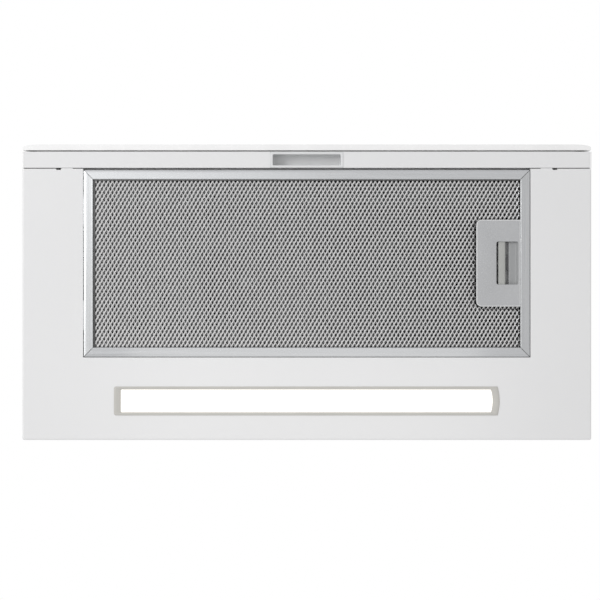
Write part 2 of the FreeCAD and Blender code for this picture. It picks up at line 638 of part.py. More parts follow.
def scroll_solid(name, inset):
    """The scroll's outline, a drum with a straight throat up to the lid, less inset all round."""
    drum = rod(f"{name}_drum", (f"-scroll_long/2+{inset}", "fan_y", "fan_z"), f"scroll-{inset}",
               f"scroll_long-2*{inset}", "x")
    throat = span(f"{name}_throat", (f"-scroll_long/2+{inset}", f"scroll_long/2-{inset}"),
                  (f"fan_y+scroll-throat+{inset}", f"fan_y+scroll-{inset}"), ("fan_z", "box_high-lid_play"))
    return fuse(name, [drum, throat])


def make_scroll():
    """Two moulded halves that meet at the middle."""
    outer = scroll_solid("scroll_outer", "0")
    inner = scroll_solid("scroll_inner", "scroll_wall")
    mouth = span("scroll_mouth", ("-scroll_long/2+scroll_wall", "scroll_long/2-scroll_wall"),
                 ("fan_y+scroll-throat+scroll_wall", "fan_y+scroll-scroll_wall"),
                 ("box_high-4", "box_high+1"))
    rim = span("scroll_rim_plate", ("-duct-scroll_rim", "duct+scroll_rim"),
               ("-duct-scroll_rim", "duct+scroll_rim"), ("box_high-lid_play-scroll_wall",
                                                      "box_high-lid_play"))
    rim_soft = rounded("scroll_rim_soft", rim, "scroll_rim", lambda edge: runs(edge, "z"))
    eyes = rod("scroll_eyes", ("-scroll_long", "fan_y", "fan_z"), "inlet", "2*scroll_long", "x")
    shell = cut("scroll_shell", fuse("scroll_rimmed", [outer, rim_soft]), [inner, mouth, eyes])
    for side, sign in SIDES:
        keep = span(f"scroll_keep_{side}", mirrored(sign, "fit/2", "scroll_long"), ("-200", "200"),
                    ("-1", "box_high+5"))
        half = doc.addObject("Part::Common", f"scroll_{side}")
        half.Base = shell
        half.Tool = keep
        node(f"scroll_{side}", half)


MOTOR_FACE = "(-scroll_long/2-motor_off)"
MOTOR_END = f"({MOTOR_FACE}-motor_long)"


def make_impeller():
    """A double-inlet wheel: centre disc, forward-leaning blades and two end rings."""
    wheel = size("wheel")
    long_half = size("wheel_long/2")
    deep = size("blade_deep")
    thick = size("blade_thick")
    count = int(size("blade_count"))
    axis = V(1, 0, 0)
    centre = V(0, size("fan_y"), size("fan_z"))
    ring_wide = size("ring_wide")
    tip = size("blade_set")
    disc_thick = size("disc_thick")
    boss_long = size("boss_long")
    disc = Part.makeCylinder(wheel - tip, disc_thick, centre - V(disc_thick / 2, 0, 0), axis)
    boss = Part.makeCylinder(size("boss"), boss_long, centre - V(boss_long / 2, 0, 0), axis)
    solid = disc.fuse(boss)
    rings = []
    for start in (-long_half, long_half - ring_wide):
        outer = Part.makeCylinder(wheel, ring_wide, centre + V(start, 0, 0), axis)
        hole = Part.makeCylinder(wheel - deep - 1, ring_wide, centre + V(start, 0, 0), axis)
        rings.append(outer.cut(hole))
    blade = Part.makeBox(2 * long_half, thick, deep)
    blade.translate(centre + V(-long_half, -thick / 2, wheel - deep - tip))
    blade.rotate(centre + V(0, 0, wheel - deep), axis, -18)
    blades = []
    for number in range(count):
        turned = blade.copy()
        turned.rotate(centre, axis, 360 * number / count)
        blades.append(turned)
    solid = solid.multiFuse(rings + blades)
    round_off = Part.makeCylinder(wheel, 2 * long_half, centre - V(long_half, 0, 0), axis)
    solid = solid.common(round_off)
    bore = Part.makeCylinder(size("shaft"), 60, centre - V(30, 0, 0), axis)
    node("impeller", feature("impeller", solid.cut(bore).removeSplitter()))


def make_motor():
    """Stator can, end shield, rotor, shaft, two bearings and the three-legged bracket."""
    def at(x):
        return (x, "fan_y", "fan_z")

    can = rod("can_block", at(MOTOR_END), "motor", "motor_long-shield", "x")
    soft = rounded("can_soft", can, "4", lambda edge: abs(mid(edge).x - size(MOTOR_END)) < 1e-6)
    cavity = rod("can_cavity", at(f"{MOTOR_END}+shield"), "rotor+air_gap", "motor_long", "x")
    seat = rod("can_seat", at(f"{MOTOR_END}-1"), "bearing", "bearing_wide+1", "x")
    node("motor_can", cut("motor_can", soft, [cavity, seat]))
    face = rod("shield_block", at(f"{MOTOR_FACE}-shield"), "motor", "shield", "x")
    face_seat = rod("shield_seat", at(f"{MOTOR_FACE}-shield-1"), "bearing", "shield+2", "x")
    node("motor_end_shield", cut("motor_end_shield", face, [face_seat]))
    node("motor_rotor", cut("motor_rotor",
                            rod("rotor_block", at(f"{MOTOR_END}+motor_long/2-rotor_long/2"), "rotor",
                                "rotor_long", "x"),
                            [rod("rotor_bore", at(MOTOR_END), "shaft", "motor_long", "x")]))
    node("motor_shaft", rod("motor_shaft", at(f"{MOTOR_END}-2"), "shaft",
                            f"16-{MOTOR_END}+2", "x"))
    rings = []
    for name, start in (("rear", MOTOR_END), ("face", f"{MOTOR_FACE}-shield")):
        wide = "bearing_wide" if name == "rear" else "shield"
        ring = rod(f"bearing_{name}_ring", at(start), "bearing-fit/2", wide, "x")
        hole = rod(f"bearing_{name}_hole", at(f"{start}-1"), "shaft+running", f"{wide}+2", "x")
        rings.append(cut(f"bearing_{name}", ring, [hole]))
    group("motor_bearings", rings)
    band = rod("bracket_band", at(f"{MOTOR_FACE}-shield-6"), "motor+2", "shield+6", "x")
    band_hole = rod("bracket_band_hole", at(f"{MOTOR_FACE}-shield-7"), "motor+fit",
                    "shield+motor_off+9", "x")
    legs = []
    for number in range(3):
        leg = doc.addObject("Part::Box", f"bracket_leg_{number}")
        leg.setExpression("Length", bound("motor_off+3"))
        leg.setExpression("Width", bound("10"))
        leg.setExpression("Height", bound("scroll-motor-4"))
        turn = FreeCAD.Rotation(V(1, 0, 0), 120 * number + 60)
        offset = turn.multVec(V(0, -5, size("motor")))
        leg.Placement = FreeCAD.Placement(V(0, 0, 0), turn)
        leg.setExpression("Placement.Base.x", bound(f"{MOTOR_FACE}-3"))
        leg.setExpression("Placement.Base.y", bound(f"fan_y+({offset.y / size('motor')})*motor"))
        leg.setExpression("Placement.Base.z", bound(f"fan_z+({offset.z / size('motor')})*motor"))
        legs.append(leg)
    node("motor_bracket", cut("motor_bracket", fuse("bracket_solid", [band] + legs), [band_hole]))


def make_electrics():
    """Run capacitor, junction box with its lid and gland, and the lamp driver."""
    body = rod("capacitor_body", (CAPACITOR_X, CAPACITOR_Y, "0.2"), "capacitor", "capacitor_long")
    soft = rounded("capacitor_soft", body, "2", lambda edge: not runs(edge, "z"))
    pins = [box(f"capacitor_pin_{number}", (f"{CAPACITOR_X}+{shift}", f"{CAPACITOR_Y}-0.4",
                                            "capacitor_long-1"), ("5", "0.8", "9"))
            for number, shift in enumerate(("-8", "3"))]
    node("run_capacitor", fuse("run_capacitor", [soft] + pins))
    left, right = f"{JUNCTION_X}-junction_wide/2", f"{JUNCTION_X}+junction_wide/2"
    front, back = f"{JUNCTION_Y}-junction_deep/2", f"{JUNCTION_Y}+junction_deep/2"
    low = "(box_high-fit-junction_high)"
    block = span("junction_block", (left, right), (front, back), (low, "box_high-fit"))
    soft_box = rounded("junction_soft", block, "3", lambda edge: runs(edge, "z"))
    room = span("junction_room", (f"{left}+junction_wall", f"{right}-junction_wall"),
                (f"{front}+junction_wall", f"{back}-junction_wall"),
                (f"{low}-1", "box_high-fit-junction_wall"))
    hole = rod("junction_hole", (JUNCTION_X, JUNCTION_Y, "box_high-6"), "gland-2+fit", "8")
    node("junction_box", cut("junction_box", soft_box, [room, hole]))
    cover = span("junction_cover_block", (left, right), (front, back),
                 (f"{low}-cover_thick-fit", f"{low}-fit"))
    node("junction_cover", rounded("junction_cover", cover, "3", lambda edge: runs(edge, "z")))
    nut = rod("gland_nut", (JUNCTION_X, JUNCTION_Y, LID_TOP), "gland", "gland_long")
    dome = rounded("gland_dome", nut, "3.5",
                   lambda edge: abs(mid(edge).z - size(f"{LID_TOP}+gland_long")) < 1e-6)
    thread = rod("gland_thread", (JUNCTION_X, JUNCTION_Y, "box_high-8"), "gland-2", "9+zinc")
    bore = rod("gland_hole", (JUNCTION_X, JUNCTION_Y, "box_high-9"), "gland_bore", "gland_long+30")
    node("cable_gland", cut("cable_gland", fuse("gland_solid", [dome, thread]), [bore]))
    driver = box("driver_block", ("-box_wide/2+driver_in", "box_deep/2-driver_fore", "0.2"),
                 ("driver_wide", "driver_deep", "driver_high"))
    node("lamp_driver", rounded("lamp_driver", driver, "3", lambda edge: runs(edge, "z")))


def make_lamp():
    """Bezel, lens, diode board with its diodes, and the heat-sink tray behind them."""
    flange = span("bezel_flange", ("-lamp_wide/2", "lamp_wide/2"), (LAMP_FRONT, LAMP_BACK),
                  (f"{LOW}-lamp_proud", LOW))
    soft = rounded("bezel_soft", flange, "2.5", lambda edge: runs(edge, "z"))
    sleeve = span("bezel_sleeve", ("-lamp_wide/2+bezel_lap+fit", "lamp_wide/2-bezel_lap-fit"),
                  (f"{LAMP_FRONT}+bezel_lap+fit", f"{LAMP_BACK}-bezel_lap-fit"), (LOW, f"{LOW}+bezel_high"))
    window = span("bezel_window", ("-lens_wide/2-fit", "lens_wide/2+fit"),
                  (f"{LAMP_MID}-lens_deep/2-fit", f"{LAMP_MID}+lens_deep/2+fit"),
                  (f"{LOW}-9", f"{LOW}+bezel_high+1"))
    node("lamp_bezel", cut("lamp_bezel", fuse("bezel_solid", [soft, sleeve]), [window]))
    lens = span("lens_block", ("-lens_wide/2", "lens_wide/2"),
                (f"{LAMP_MID}-lens_deep/2", f"{LAMP_MID}+lens_deep/2"),
                (f"{LOW}-lamp_proud+lens_set", f"{LOW}-lamp_proud+lens_set+lens_thick"))
    node("lamp_lens", rounded("lamp_lens", lens, "1", lambda edge: runs(edge, "z")))
    board_low = f"({LOW}+bezel_high-board_thick)"
    board = span("lamp_board", ("-lens_wide/2+4", "lens_wide/2-4"), (f"{LAMP_MID}-8", f"{LAMP_MID}+8"),
                 (board_low, f"{board_low}+board_thick"))
    node("lamp_board", board)
    count = int(size("lamp_count"))
    pitch = f"(lens_wide-2*diode_in)/{count - 1}"
    chips = [box(f"lamp_diode_{number}",
                 (f"-lens_wide/2+diode_in+{number}*{pitch}-diode/2", f"{LAMP_MID}-diode/2",
                  f"{board_low}-diode_high"), ("diode", "diode", "diode_high"))
             for number in range(count)]
    group("lamp_diodes", chips)
    tray_low = f"({LOW}+bezel_high)"
    tray = span("tray_block", ("-lamp_wide/2+bezel_lap", "lamp_wide/2-bezel_lap"),
                (f"{LAMP_FRONT}+bezel_lap", f"{LAMP_BACK}-bezel_lap"), (tray_low, f"{tray_low}+tray_high"))
    slots = []
    for number in range(5):
        start = f"{LAMP_FRONT}+bezel_lap+tray_floor+{number}*fin_pitch"
        slots.append(span(f"tray_slot_{number}", ("-lamp_wide", "lamp_wide"), (start, f"{start}+fin_gap"),
                          (f"{tray_low}+tray_floor", f"{tray_low}+tray_high+1")))
    node("lamp_heat_sink", cut("lamp_heat_sink", tray, slots))


def make_runner(side, sign):
    """A ball-bearing runner: fixed outer member, ball cage, balls and sliding inner member."""
    start = RAIL_FRONT
    stop = f"{RAIL_FRONT}+rail_long"
    half = "rail_high/2"
    web = span(f"rail_web_{side}", mirrored(sign, f"{RAIL_OUTER}-rail_wall", RAIL_OUTER), (start, stop),
               (f"{RAIL_MID}-{half}", f"{RAIL_MID}+{half}"))
    lips = [span(f"rail_lip_{side}_{name}", mirrored(sign, f"{RAIL_IN}+1", f"{RAIL_OUTER}-rail_wall"),
                 (start, stop), limits)
            for name, limits in (("low", (f"{RAIL_MID}-{half}", f"{RAIL_MID}-{half}+rail_wall")),
                                 ("high", (f"{RAIL_MID}+{half}-rail_wall", f"{RAIL_MID}+{half}")))]
    node(f"rail_outer_{side}", fuse(f"rail_outer_{side}", [web] + lips))
    ball_up = f"({half}-rail_wall-ball_play-ball)"
    inner_half = f"({ball_up}-ball-ball_play)"
    inner_web = span(f"slider_web_{side}", mirrored(sign, RAIL_IN, f"{RAIL_IN}+rail_wall"), (start, stop),
                     (f"{RAIL_MID}-{inner_half}", f"{RAIL_MID}+{inner_half}"))
    slider_low = f"{RAIL_MID}-{inner_half}"
    slider_high = f"{RAIL_MID}+{inner_half}"
    flanges = [span(f"slider_lip_{side}_{name}",
                    mirrored(sign, f"{RAIL_IN}+rail_wall", f"{RAIL_OUTER}-rail_wall-slider_play"),
                    (start, stop), limits)
               for name, limits in (("low", (slider_low, f"{slider_low}+rail_wall")),
                                    ("high", (f"{slider_high}-rail_wall", slider_high)))]
    node(f"rail_inner_{side}", fuse(f"rail_inner_{side}", [inner_web] + flanges))
    cage_start = f"({RAIL_FRONT}+travel/2+2)"
    strips = []
    balls = []
    holes = []
    count = 6
    for name, height in (("low", f"{RAIL_MID}-{ball_up}"), ("high", f"{RAIL_MID}+{ball_up}")):
        strips.append(span(f"cage_strip_{side}_{name}",
                           mirrored(sign, f"{RAIL_IN}+cage_in", f"{RAIL_OUTER}-rail_wall-cage_play"),
                           (cage_start, f"{cage_start}+cage_long"),
                           (f"{height}-cage_thick/2", f"{height}+cage_thick/2")))
        for number in range(count):
            along = f"{cage_start}+ball_first+{number}*ball_pitch"
            across = f"{sign}*({RAIL_IN}+ball_in)"
            ball = doc.addObject("Part::Sphere", f"ball_{side}_{name}_{number}")
            ball.setExpression("Radius", bound("ball"))
            place(ball, (across, along, height))
            balls.append(ball)
            holes.append(rod(f"cage_hole_{side}_{name}_{number}", (across, along, f"{height}-2"),
                             "ball+running", "4"))
    strips.append(span(f"cage_web_{side}",
                       mirrored(sign, f"{RAIL_OUTER}-rail_wall-cage_play-cage_thick",
                                f"{RAIL_OUTER}-rail_wall-cage_play"),
                       (cage_start, f"{cage_start}+cage_long"),
                       (f"{RAIL_MID}-{ball_up}-cage_thick/2", f"{RAIL_MID}+{ball_up}+cage_thick/2")))
    cage = cut(f"ball_cage_{side}", fuse(f"cage_solid_{side}", strips), holes)
    plate = span(f"hanger_plate_{side}",
                 mirrored(sign, f"{RAIL_OUTER}+fit", f"{RAIL_OUTER}+fit+hanger_thick"),
                 (start, stop), (f"{RAIL_MID}-{half}", "-zinc-fit"))
    foot = span(f"hanger_foot_{side}",
                mirrored(sign, f"{RAIL_OUTER}+fit", f"{RAIL_OUTER}+fit+hanger_foot"),
                (start, stop), ("-zinc-fit-hanger_thick", "-zinc-fit"))
    gaps = [span(f"hanger_gap_{side}_{number}", mirrored(sign, f"{RAIL_OUTER}+4", f"{RAIL_OUTER}+20"),
                 (f"{share}*screw_span_deep/2-14", f"{share}*screw_span_deep/2+14"), ("-8", "1"))
            for number, share in enumerate((-1, 1))]
    hanger = cut(f"rail_hanger_{side}", fuse(f"hanger_solid_{side}", [plate, foot]), gaps)
    return cage, balls, hanger


def make_runners():
    """Both runners: the cages, the balls and the hangers are each a set of like pieces."""
    (cage_left, balls_left, hanger_left), (cage_right, balls_right, hanger_right) = [
        make_runner(side, sign) for side, sign in SIDES]
    group("ball_cages", [cage_left, cage_right])
    group("rail_balls", balls_left + balls_right)
    group("rail_hangers", [hanger_left, hanger_right])


def make_front_profile():
    """The visor's hollow front bar, its end caps and the finger grip let into its underside."""
    top = "-visor_drop"
    ends = f"({SIDE}-cap_thick-fit)"
    bar = span("profile_bar", (f"-{ends}", ends), (STRIP_FRONT, STRIP_BACK), (LOW, top))
    soft = rounded("profile_soft", bar, "0.5", lambda edge: runs(edge, "x"))
    room = span("profile_room", ("-body_wide", "body_wide"),
                (f"{STRIP_FRONT}+strip_wall", f"{STRIP_BACK}-strip_wall"),
                (f"{LOW}+strip_wall", f"{top}-strip_wall"))
    rebate = span("profile_rebate", ("-grip_wide/2-fit", "grip_wide/2+fit"),
                  (f"{GRIP_MID}-{GRIP_DEEP}/2-fit", f"{GRIP_MID}+{GRIP_DEEP}/2+fit"),
                  (f"{LOW}-1", f"{LOW}+grip_face"))
    pocket = span("profile_pocket", ("-recess_wide/2-grip_face-fit", "recess_wide/2+grip_face+fit"),
                  (f"{STRIP_FRONT}+strip_wall", f"{STRIP_BACK}-strip_wall"),
                  (f"{LOW}-1", f"{LOW}+strip_wall+1"))
    holes = [rod(f"profile_stem_hole_{number}", (x, f"{STRIP_FRONT}-1", BUTTON_Z), "stem+stem_play",
                 "strip_wall+2", "y") for number, x in enumerate(BUTTON_PLACES)]
    node("front_profile", cut("front_profile", soft, [room, rebate, pocket] + holes))
    flange = span("grip_flange", ("-grip_wide/2", "grip_wide/2"),
                  (f"{GRIP_MID}-{GRIP_DEEP}/2", f"{GRIP_MID}+{GRIP_DEEP}/2"),
                  (f"{LOW}-grip_proud", f"{LOW}+grip_face-fit"))
    flange_soft = rounded("grip_flange_soft", flange, "grip_round", lambda edge: runs(edge, "z"))
    cup = span("grip_cup_block", ("-recess_wide/2-grip_face", "recess_wide/2+grip_face"),
               (f"{GRIP_MID}-{RECESS_DEEP}/2-grip_face", f"{GRIP_MID}+{RECESS_DEEP}/2+grip_face"),
               (LOW, f"{LOW}+recess_high+grip_face"))
    hollow = span("grip_hollow", ("-recess_wide/2", "recess_wide/2"),
                  (f"{GRIP_MID}-{RECESS_DEEP}/2", f"{GRIP_MID}+{RECESS_DEEP}/2"),
                  (f"{LOW}-1", f"{LOW}+recess_high"))
    high = size(f"{LOW}+recess_high")
    hollow_soft = rounded("grip_hollow_soft", hollow, "recess_round",
                          lambda edge: runs(edge, "z") or abs(mid(edge).z - high) < 1e-6)
    node("grip_insert", cut("grip_insert", fuse("grip_solid", [flange_soft, cup]), [hollow_soft]))
    for side, sign in SIDES:
        plate = span(f"cap_plate_{side}", mirrored(sign, f"{SIDE}-cap_thick", SIDE),
                     (STRIP_FRONT, f"{STRIP_BACK}+seam/2"), (LOW, top))
        outer = size(SIDE)
        soft_cap = rounded(f"cap_soft_{side}", plate, "0.9",
                           lambda edge: abs(abs(mid(edge).x) - outer) < 1e-6)
        plug = span(f"cap_plug_{side}", mirrored(sign, f"{SIDE}-cap_thick-12", f"{SIDE}-cap_thick"),
                    (f"{STRIP_FRONT}+strip_wall+fit", f"{STRIP_BACK}-strip_wall-fit"),
                    (f"{LOW}+strip_wall+fit", f"{top}-strip_wall-fit"))
        node(f"end_cap_{side}", fuse(f"end_cap_{side}", [soft_cap, plug]))


BUTTON_Z = "((-body_high+fascia_rise-visor_drop)/2)"
BUTTON_PLACES = [f"({BUTTON_X}+({number})*button_pitch)" for number in (-2, -1, 0, 1, 2)]
BUTTON_NAMES = ("button_light", "button_off", "button_slow", "button_medium", "button_fast")


def make_fascia():
    """The moulded front, its corners swept back in plan, on two ribs that keep it off the profile."""
    half = size("fascia_wide/2")
    front = size(FASCIA_FRONT)
    back = size(FASCIA_BACK)
    low = size(f"{LOW}+fascia_rise")
    high = size("-visor_drop-fascia_drop")
    sweep = size("fascia_sweep")
    turn = size("fascia_turn")
    right = Part.Ellipse(V(half - sweep, front + turn, low), sweep, turn)
    left = Part.Ellipse(V(-half + sweep, front + turn, low), sweep, turn)
    edges = [
        Part.LineSegment(V(-half, back, low), V(half, back, low)).toShape(),
        Part.LineSegment(V(half, back, low), V(half, front + turn, low)).toShape(),
        Part.ArcOfEllipse(right, 1.5 * math.pi, 2 * math.pi).toShape(),
        Part.LineSegment(V(half - sweep, front, low), V(-half + sweep, front, low)).toShape(),
        Part.ArcOfEllipse(left, math.pi, 1.5 * math.pi).toShape(),
        Part.LineSegment(V(-half, front + turn, low), V(-half, back, low)).toShape(),
    ]
    outline = Part.Wire(Part.__sortEdges__(edges))
    slab = Part.Face(outline).extrude(V(0, 0, high - low))
    rim = [edge for edge in slab.Edges
           if abs(edge.BoundBox.ZLength) < 1e-6 and edge.BoundBox.YMin < back - 1]
    tightest_bend = turn * turn / sweep
    slab = slab.makeFillet(min(size("fascia_edge"), 0.8 * tightest_bend), rim)
    base = feature("fascia_slab", slab)
    ribs = [span(f"fascia_rib_{number}", ("-fascia_wide/2+rib_in", "fascia_wide/2-rib_in"),
                 (f"{FASCIA_BACK}-0.5", STRIP_FRONT), (f"{LOW}+{low_edge}", f"{LOW}+{low_edge}+rib_high"))
            for number, low_edge in enumerate((7, 32))]
    holes = [rod(f"fascia_hole_{number}", (x, f"{FASCIA_FRONT}-1", BUTTON_Z), "button+button_play",
                 "fascia_thick+2", "y") for number, x in enumerate(BUTTON_PLACES)]
    node("front_fascia", cut("front_fascia", fuse("fascia_solid", [base] + ribs), holes))


def make_buttons():
    """Five push buttons that pass through the fascia to switches on the board in the profile."""
    switch_front = f"({STRIP_FRONT}+switch_set)"
    body_front = f"({switch_front}+switch_front_gap)"
    body_back = f"({body_front}+switch_body)"
    for name, x in zip(BUTTON_NAMES, BUTTON_PLACES):
        head = rod(f"{name}_head", (x, f"{FASCIA_FRONT}-button_proud", BUTTON_Z), "button",
                   "button_proud+fascia_thick-0.4", "y")
        front = size(f"{FASCIA_FRONT}-button_proud")
        domed = rounded(f"{name}_dome", head, "0.8", lambda edge: abs(mid(edge).y - front) < 1e-6)
        stem = rod(f"{name}_stem", (x, f"{FASCIA_BACK}-1", BUTTON_Z), "stem",
                   f"{switch_front}-button_travel-0.1-{FASCIA_BACK}+1", "y")
        collar = rod(f"{name}_collar", (x, f"{STRIP_FRONT}+strip_wall+0.2", BUTTON_Z), "stem+1.1",
                     "0.9", "y")
        node(name, fuse(name, [domed, stem, collar]))
    switches = []
    for number, x in enumerate(BUTTON_PLACES):
        body = span(f"switch_body_{number}", (f"{x}-switch_half", f"{x}+switch_half"),
                    (body_front, body_back), (f"{BUTTON_Z}-switch_half", f"{BUTTON_Z}+switch_half"))
        plunger = rod(f"switch_plunger_{number}", (x, switch_front, BUTTON_Z), "1.7", "1.5", "y")
        switches.append(fuse(f"switch_{number}", [body, plunger]))
    group("button_switches", switches)
    board = span("control_board", (f"{BUTTON_X}-2*button_pitch-12", f"{BUTTON_X}+2*button_pitch+12"),
                 (body_back, f"{body_back}+board_thick"),
                 (f"{BUTTON_Z}-board_half", f"{BUTTON_Z}+board_half"))
    node("control_board", board)


def make_visor():
    """The sheet frame behind the front profile and the glass pane that it carries."""
    outer = f"({RAIL_IN}-fit)"
    inner = f"({outer}-arm_thick)"
    low = f"({PANE_LOW}-arm_thick)"
    high = f"({low}+arm_high)"
    back = f"({PANE_BACK}+2)"
    parts = []
    for side, sign in SIDES:
        parts.append(span(f"arm_{side}", mirrored(sign, inner, outer), (STRIP_BACK, back), (low, high)))
        parts.append(span(f"arm_ledge_{side}", mirrored(sign, f"{outer}-ledge", outer), (STRIP_BACK, back),
                          (low, PANE_LOW)))
    parts.append(span("visor_back_ledge", (f"-{outer}", outer), (f"{back}-ledge", back), (low, PANE_LOW)))
    parts.append(span("visor_back_wall", (f"-{outer}", outer), (f"{back}-arm_thick", back), (low, high)))
    parts.append(span("visor_front_ledge", (f"-{outer}", outer), (STRIP_BACK, f"{STRIP_BACK}+ledge"),
                      (low, PANE_LOW)))
    parts.append(span("visor_front_wall", (f"-{outer}", outer), (STRIP_BACK, f"{STRIP_BACK}+arm_thick"),
                      (low, high)))
    node("visor_frame", fuse("visor_frame", parts))
    pane = span("pane_block", (f"-{inner}+pane_play", f"{inner}-pane_play"),
                (f"{STRIP_BACK}+arm_thick+pane_play", f"{back}-arm_thick-pane_play"),
                (PANE_LOW, f"{PANE_LOW}+pane_thick"))
    node("visor_glass", rounded("visor_glass", pane, "0.6",
                                lambda edge: runs(edge, "x") or runs(edge, "y")))
    left = f"(-{RAIL_IN}+visor_switch_in)"
    foot = f"({PANE_LOW}+3)"
    switch = box("visor_switch_body", (left, f"{back}+4", foot), ("20", "7", "10"))
    lever = box("visor_switch_lever", (f"{left}+2", f"{back}+1", f"{foot}-2"), ("16", "0.6", "8"))
    link = box("visor_switch_link", (f"{left}+2", f"{back}+1", f"{foot}+4"), ("2", "4", "1"))
    mount = box("visor_switch_mount", (left, f"{back}+11", foot), ("20", "1.5", f"-zinc-fit-{foot}"))
    node("visor_switch", fuse("visor_switch", [switch, lever, link, mount]))


CUP_RIGHT = f"({LATCH_RIGHT}-cup_edge)"
CUP_LEFT = f"({CUP_RIGHT}-cup_wide)"
CUP_FRONT = f"({LATCH_MID}-cup_deep/2)"
CUP_BACK = f"({LATCH_MID}+cup_deep/2)"
FINGER_RIGHT = f"({LATCH_RIGHT}-finger_edge)"
FINGER_LEFT = f"({FINGER_RIGHT}-finger_wide)"
FINGER_FRONT = f"({FINGER_MID}-finger_deep/2)"
FINGER_BACK = f"({FINGER_MID}+finger_deep/2)"
BOLT_LOW = f"({LOW}+0.6*filter_thick)"
BOLT_TIP = f"({OPEN_SIDE}-bolt_short)"


def latch_clearance(name, low, high):
    """The room that the latch cup and its bolt take out of the mesh."""
    cup = span(f"{name}_cup_room", (f"{CUP_LEFT}-cup_play", f"{CUP_RIGHT}+cup_play"),
               (f"{CUP_FRONT}-cup_play", f"{CUP_BACK}+cup_play"), (low, high))
    bolt = span(f"{name}_bolt_room", (f"{CUP_RIGHT}-1", "filter_wide"),
                (f"{LATCH_MID}-bolt_wide/2-1", f"{LATCH_MID}+bolt_wide/2+1"), (low, high))
    return [cup, bolt]


def make_filter():
    """The grease filter: channel frame, three mesh layers and two hinge tongues."""
    outer = span("frame_outer", ("-filter_wide/2", "filter_wide/2"), (FILTER_FRONT, FILTER_BACK),
                 (LOW, FILTER_TOP))
    soft = rounded("frame_soft", outer, "0.7",
                   lambda edge: runs(edge, "z") or abs(mid(edge).z - size(LOW)) < 1e-6)
    window = span("frame_window", ("-filter_wide/2+frame_face", "filter_wide/2-frame_face"),
                  (f"{FILTER_FRONT}+frame_face", f"{FILTER_BACK}-frame_face"),
                  (f"{LOW}-1", f"{FILTER_TOP}+1"))
    channel = span("frame_channel", ("-filter_wide/2+foil", "filter_wide/2-foil"),
                   (f"{FILTER_FRONT}+foil", f"{FILTER_BACK}-foil"), (f"{LOW}+foil", f"{FILTER_TOP}-foil"))
    slot = span("frame_bolt_slot", ("filter_wide/2-2", "filter_wide/2+1"),
                (f"{LATCH_MID}-bolt_wide/2-bolt_play", f"{LATCH_MID}+bolt_wide/2+bolt_play"),
                (f"{BOLT_LOW}-bolt_play", f"{BOLT_LOW}+bolt_thick+bolt_play"))
    frame = cut("frame_cut", soft, [window, channel, slot])
    tongues = [span(f"frame_tongue_{number}", ("-filter_wide/2-tongue_out", "-filter_wide/2+0.4"),
                    (f"{LATCH_MID}+{sign}*tongue_span/2-tongue_wide/2",
                     f"{LATCH_MID}+{sign}*tongue_span/2+tongue_wide/2"),
                    (f"{FLOOR}+tongue_rise", f"{FLOOR}+tongue_rise+tongue_thick"))
               for number, sign in enumerate((-1, 1))]
    node("filter_frame", fuse("filter_frame", [frame] + tongues))
    edge = "(filter_wide/2-foil-mesh_play)"
    face_low = f"({LOW}+mesh_set)"
    back_low = f"({FILTER_TOP}-foil-mesh_play-mesh_thick)"
    layers = (("filter_mesh_face", face_low), ("filter_mesh_pack", f"(({face_low}+{back_low})/2)"),
              ("filter_mesh_back", back_low))
    for name, low in layers:
        high = f"{low}+mesh_thick"
        slab = span(f"{name}_slab", (f"-{edge}", edge),
                    (f"{FILTER_FRONT}+foil+mesh_play", f"{FILTER_BACK}-foil-mesh_play"), (low, high))
        node(name, cut(name, slab, latch_clearance(name, f"{low}-1", f"{high}+1")))


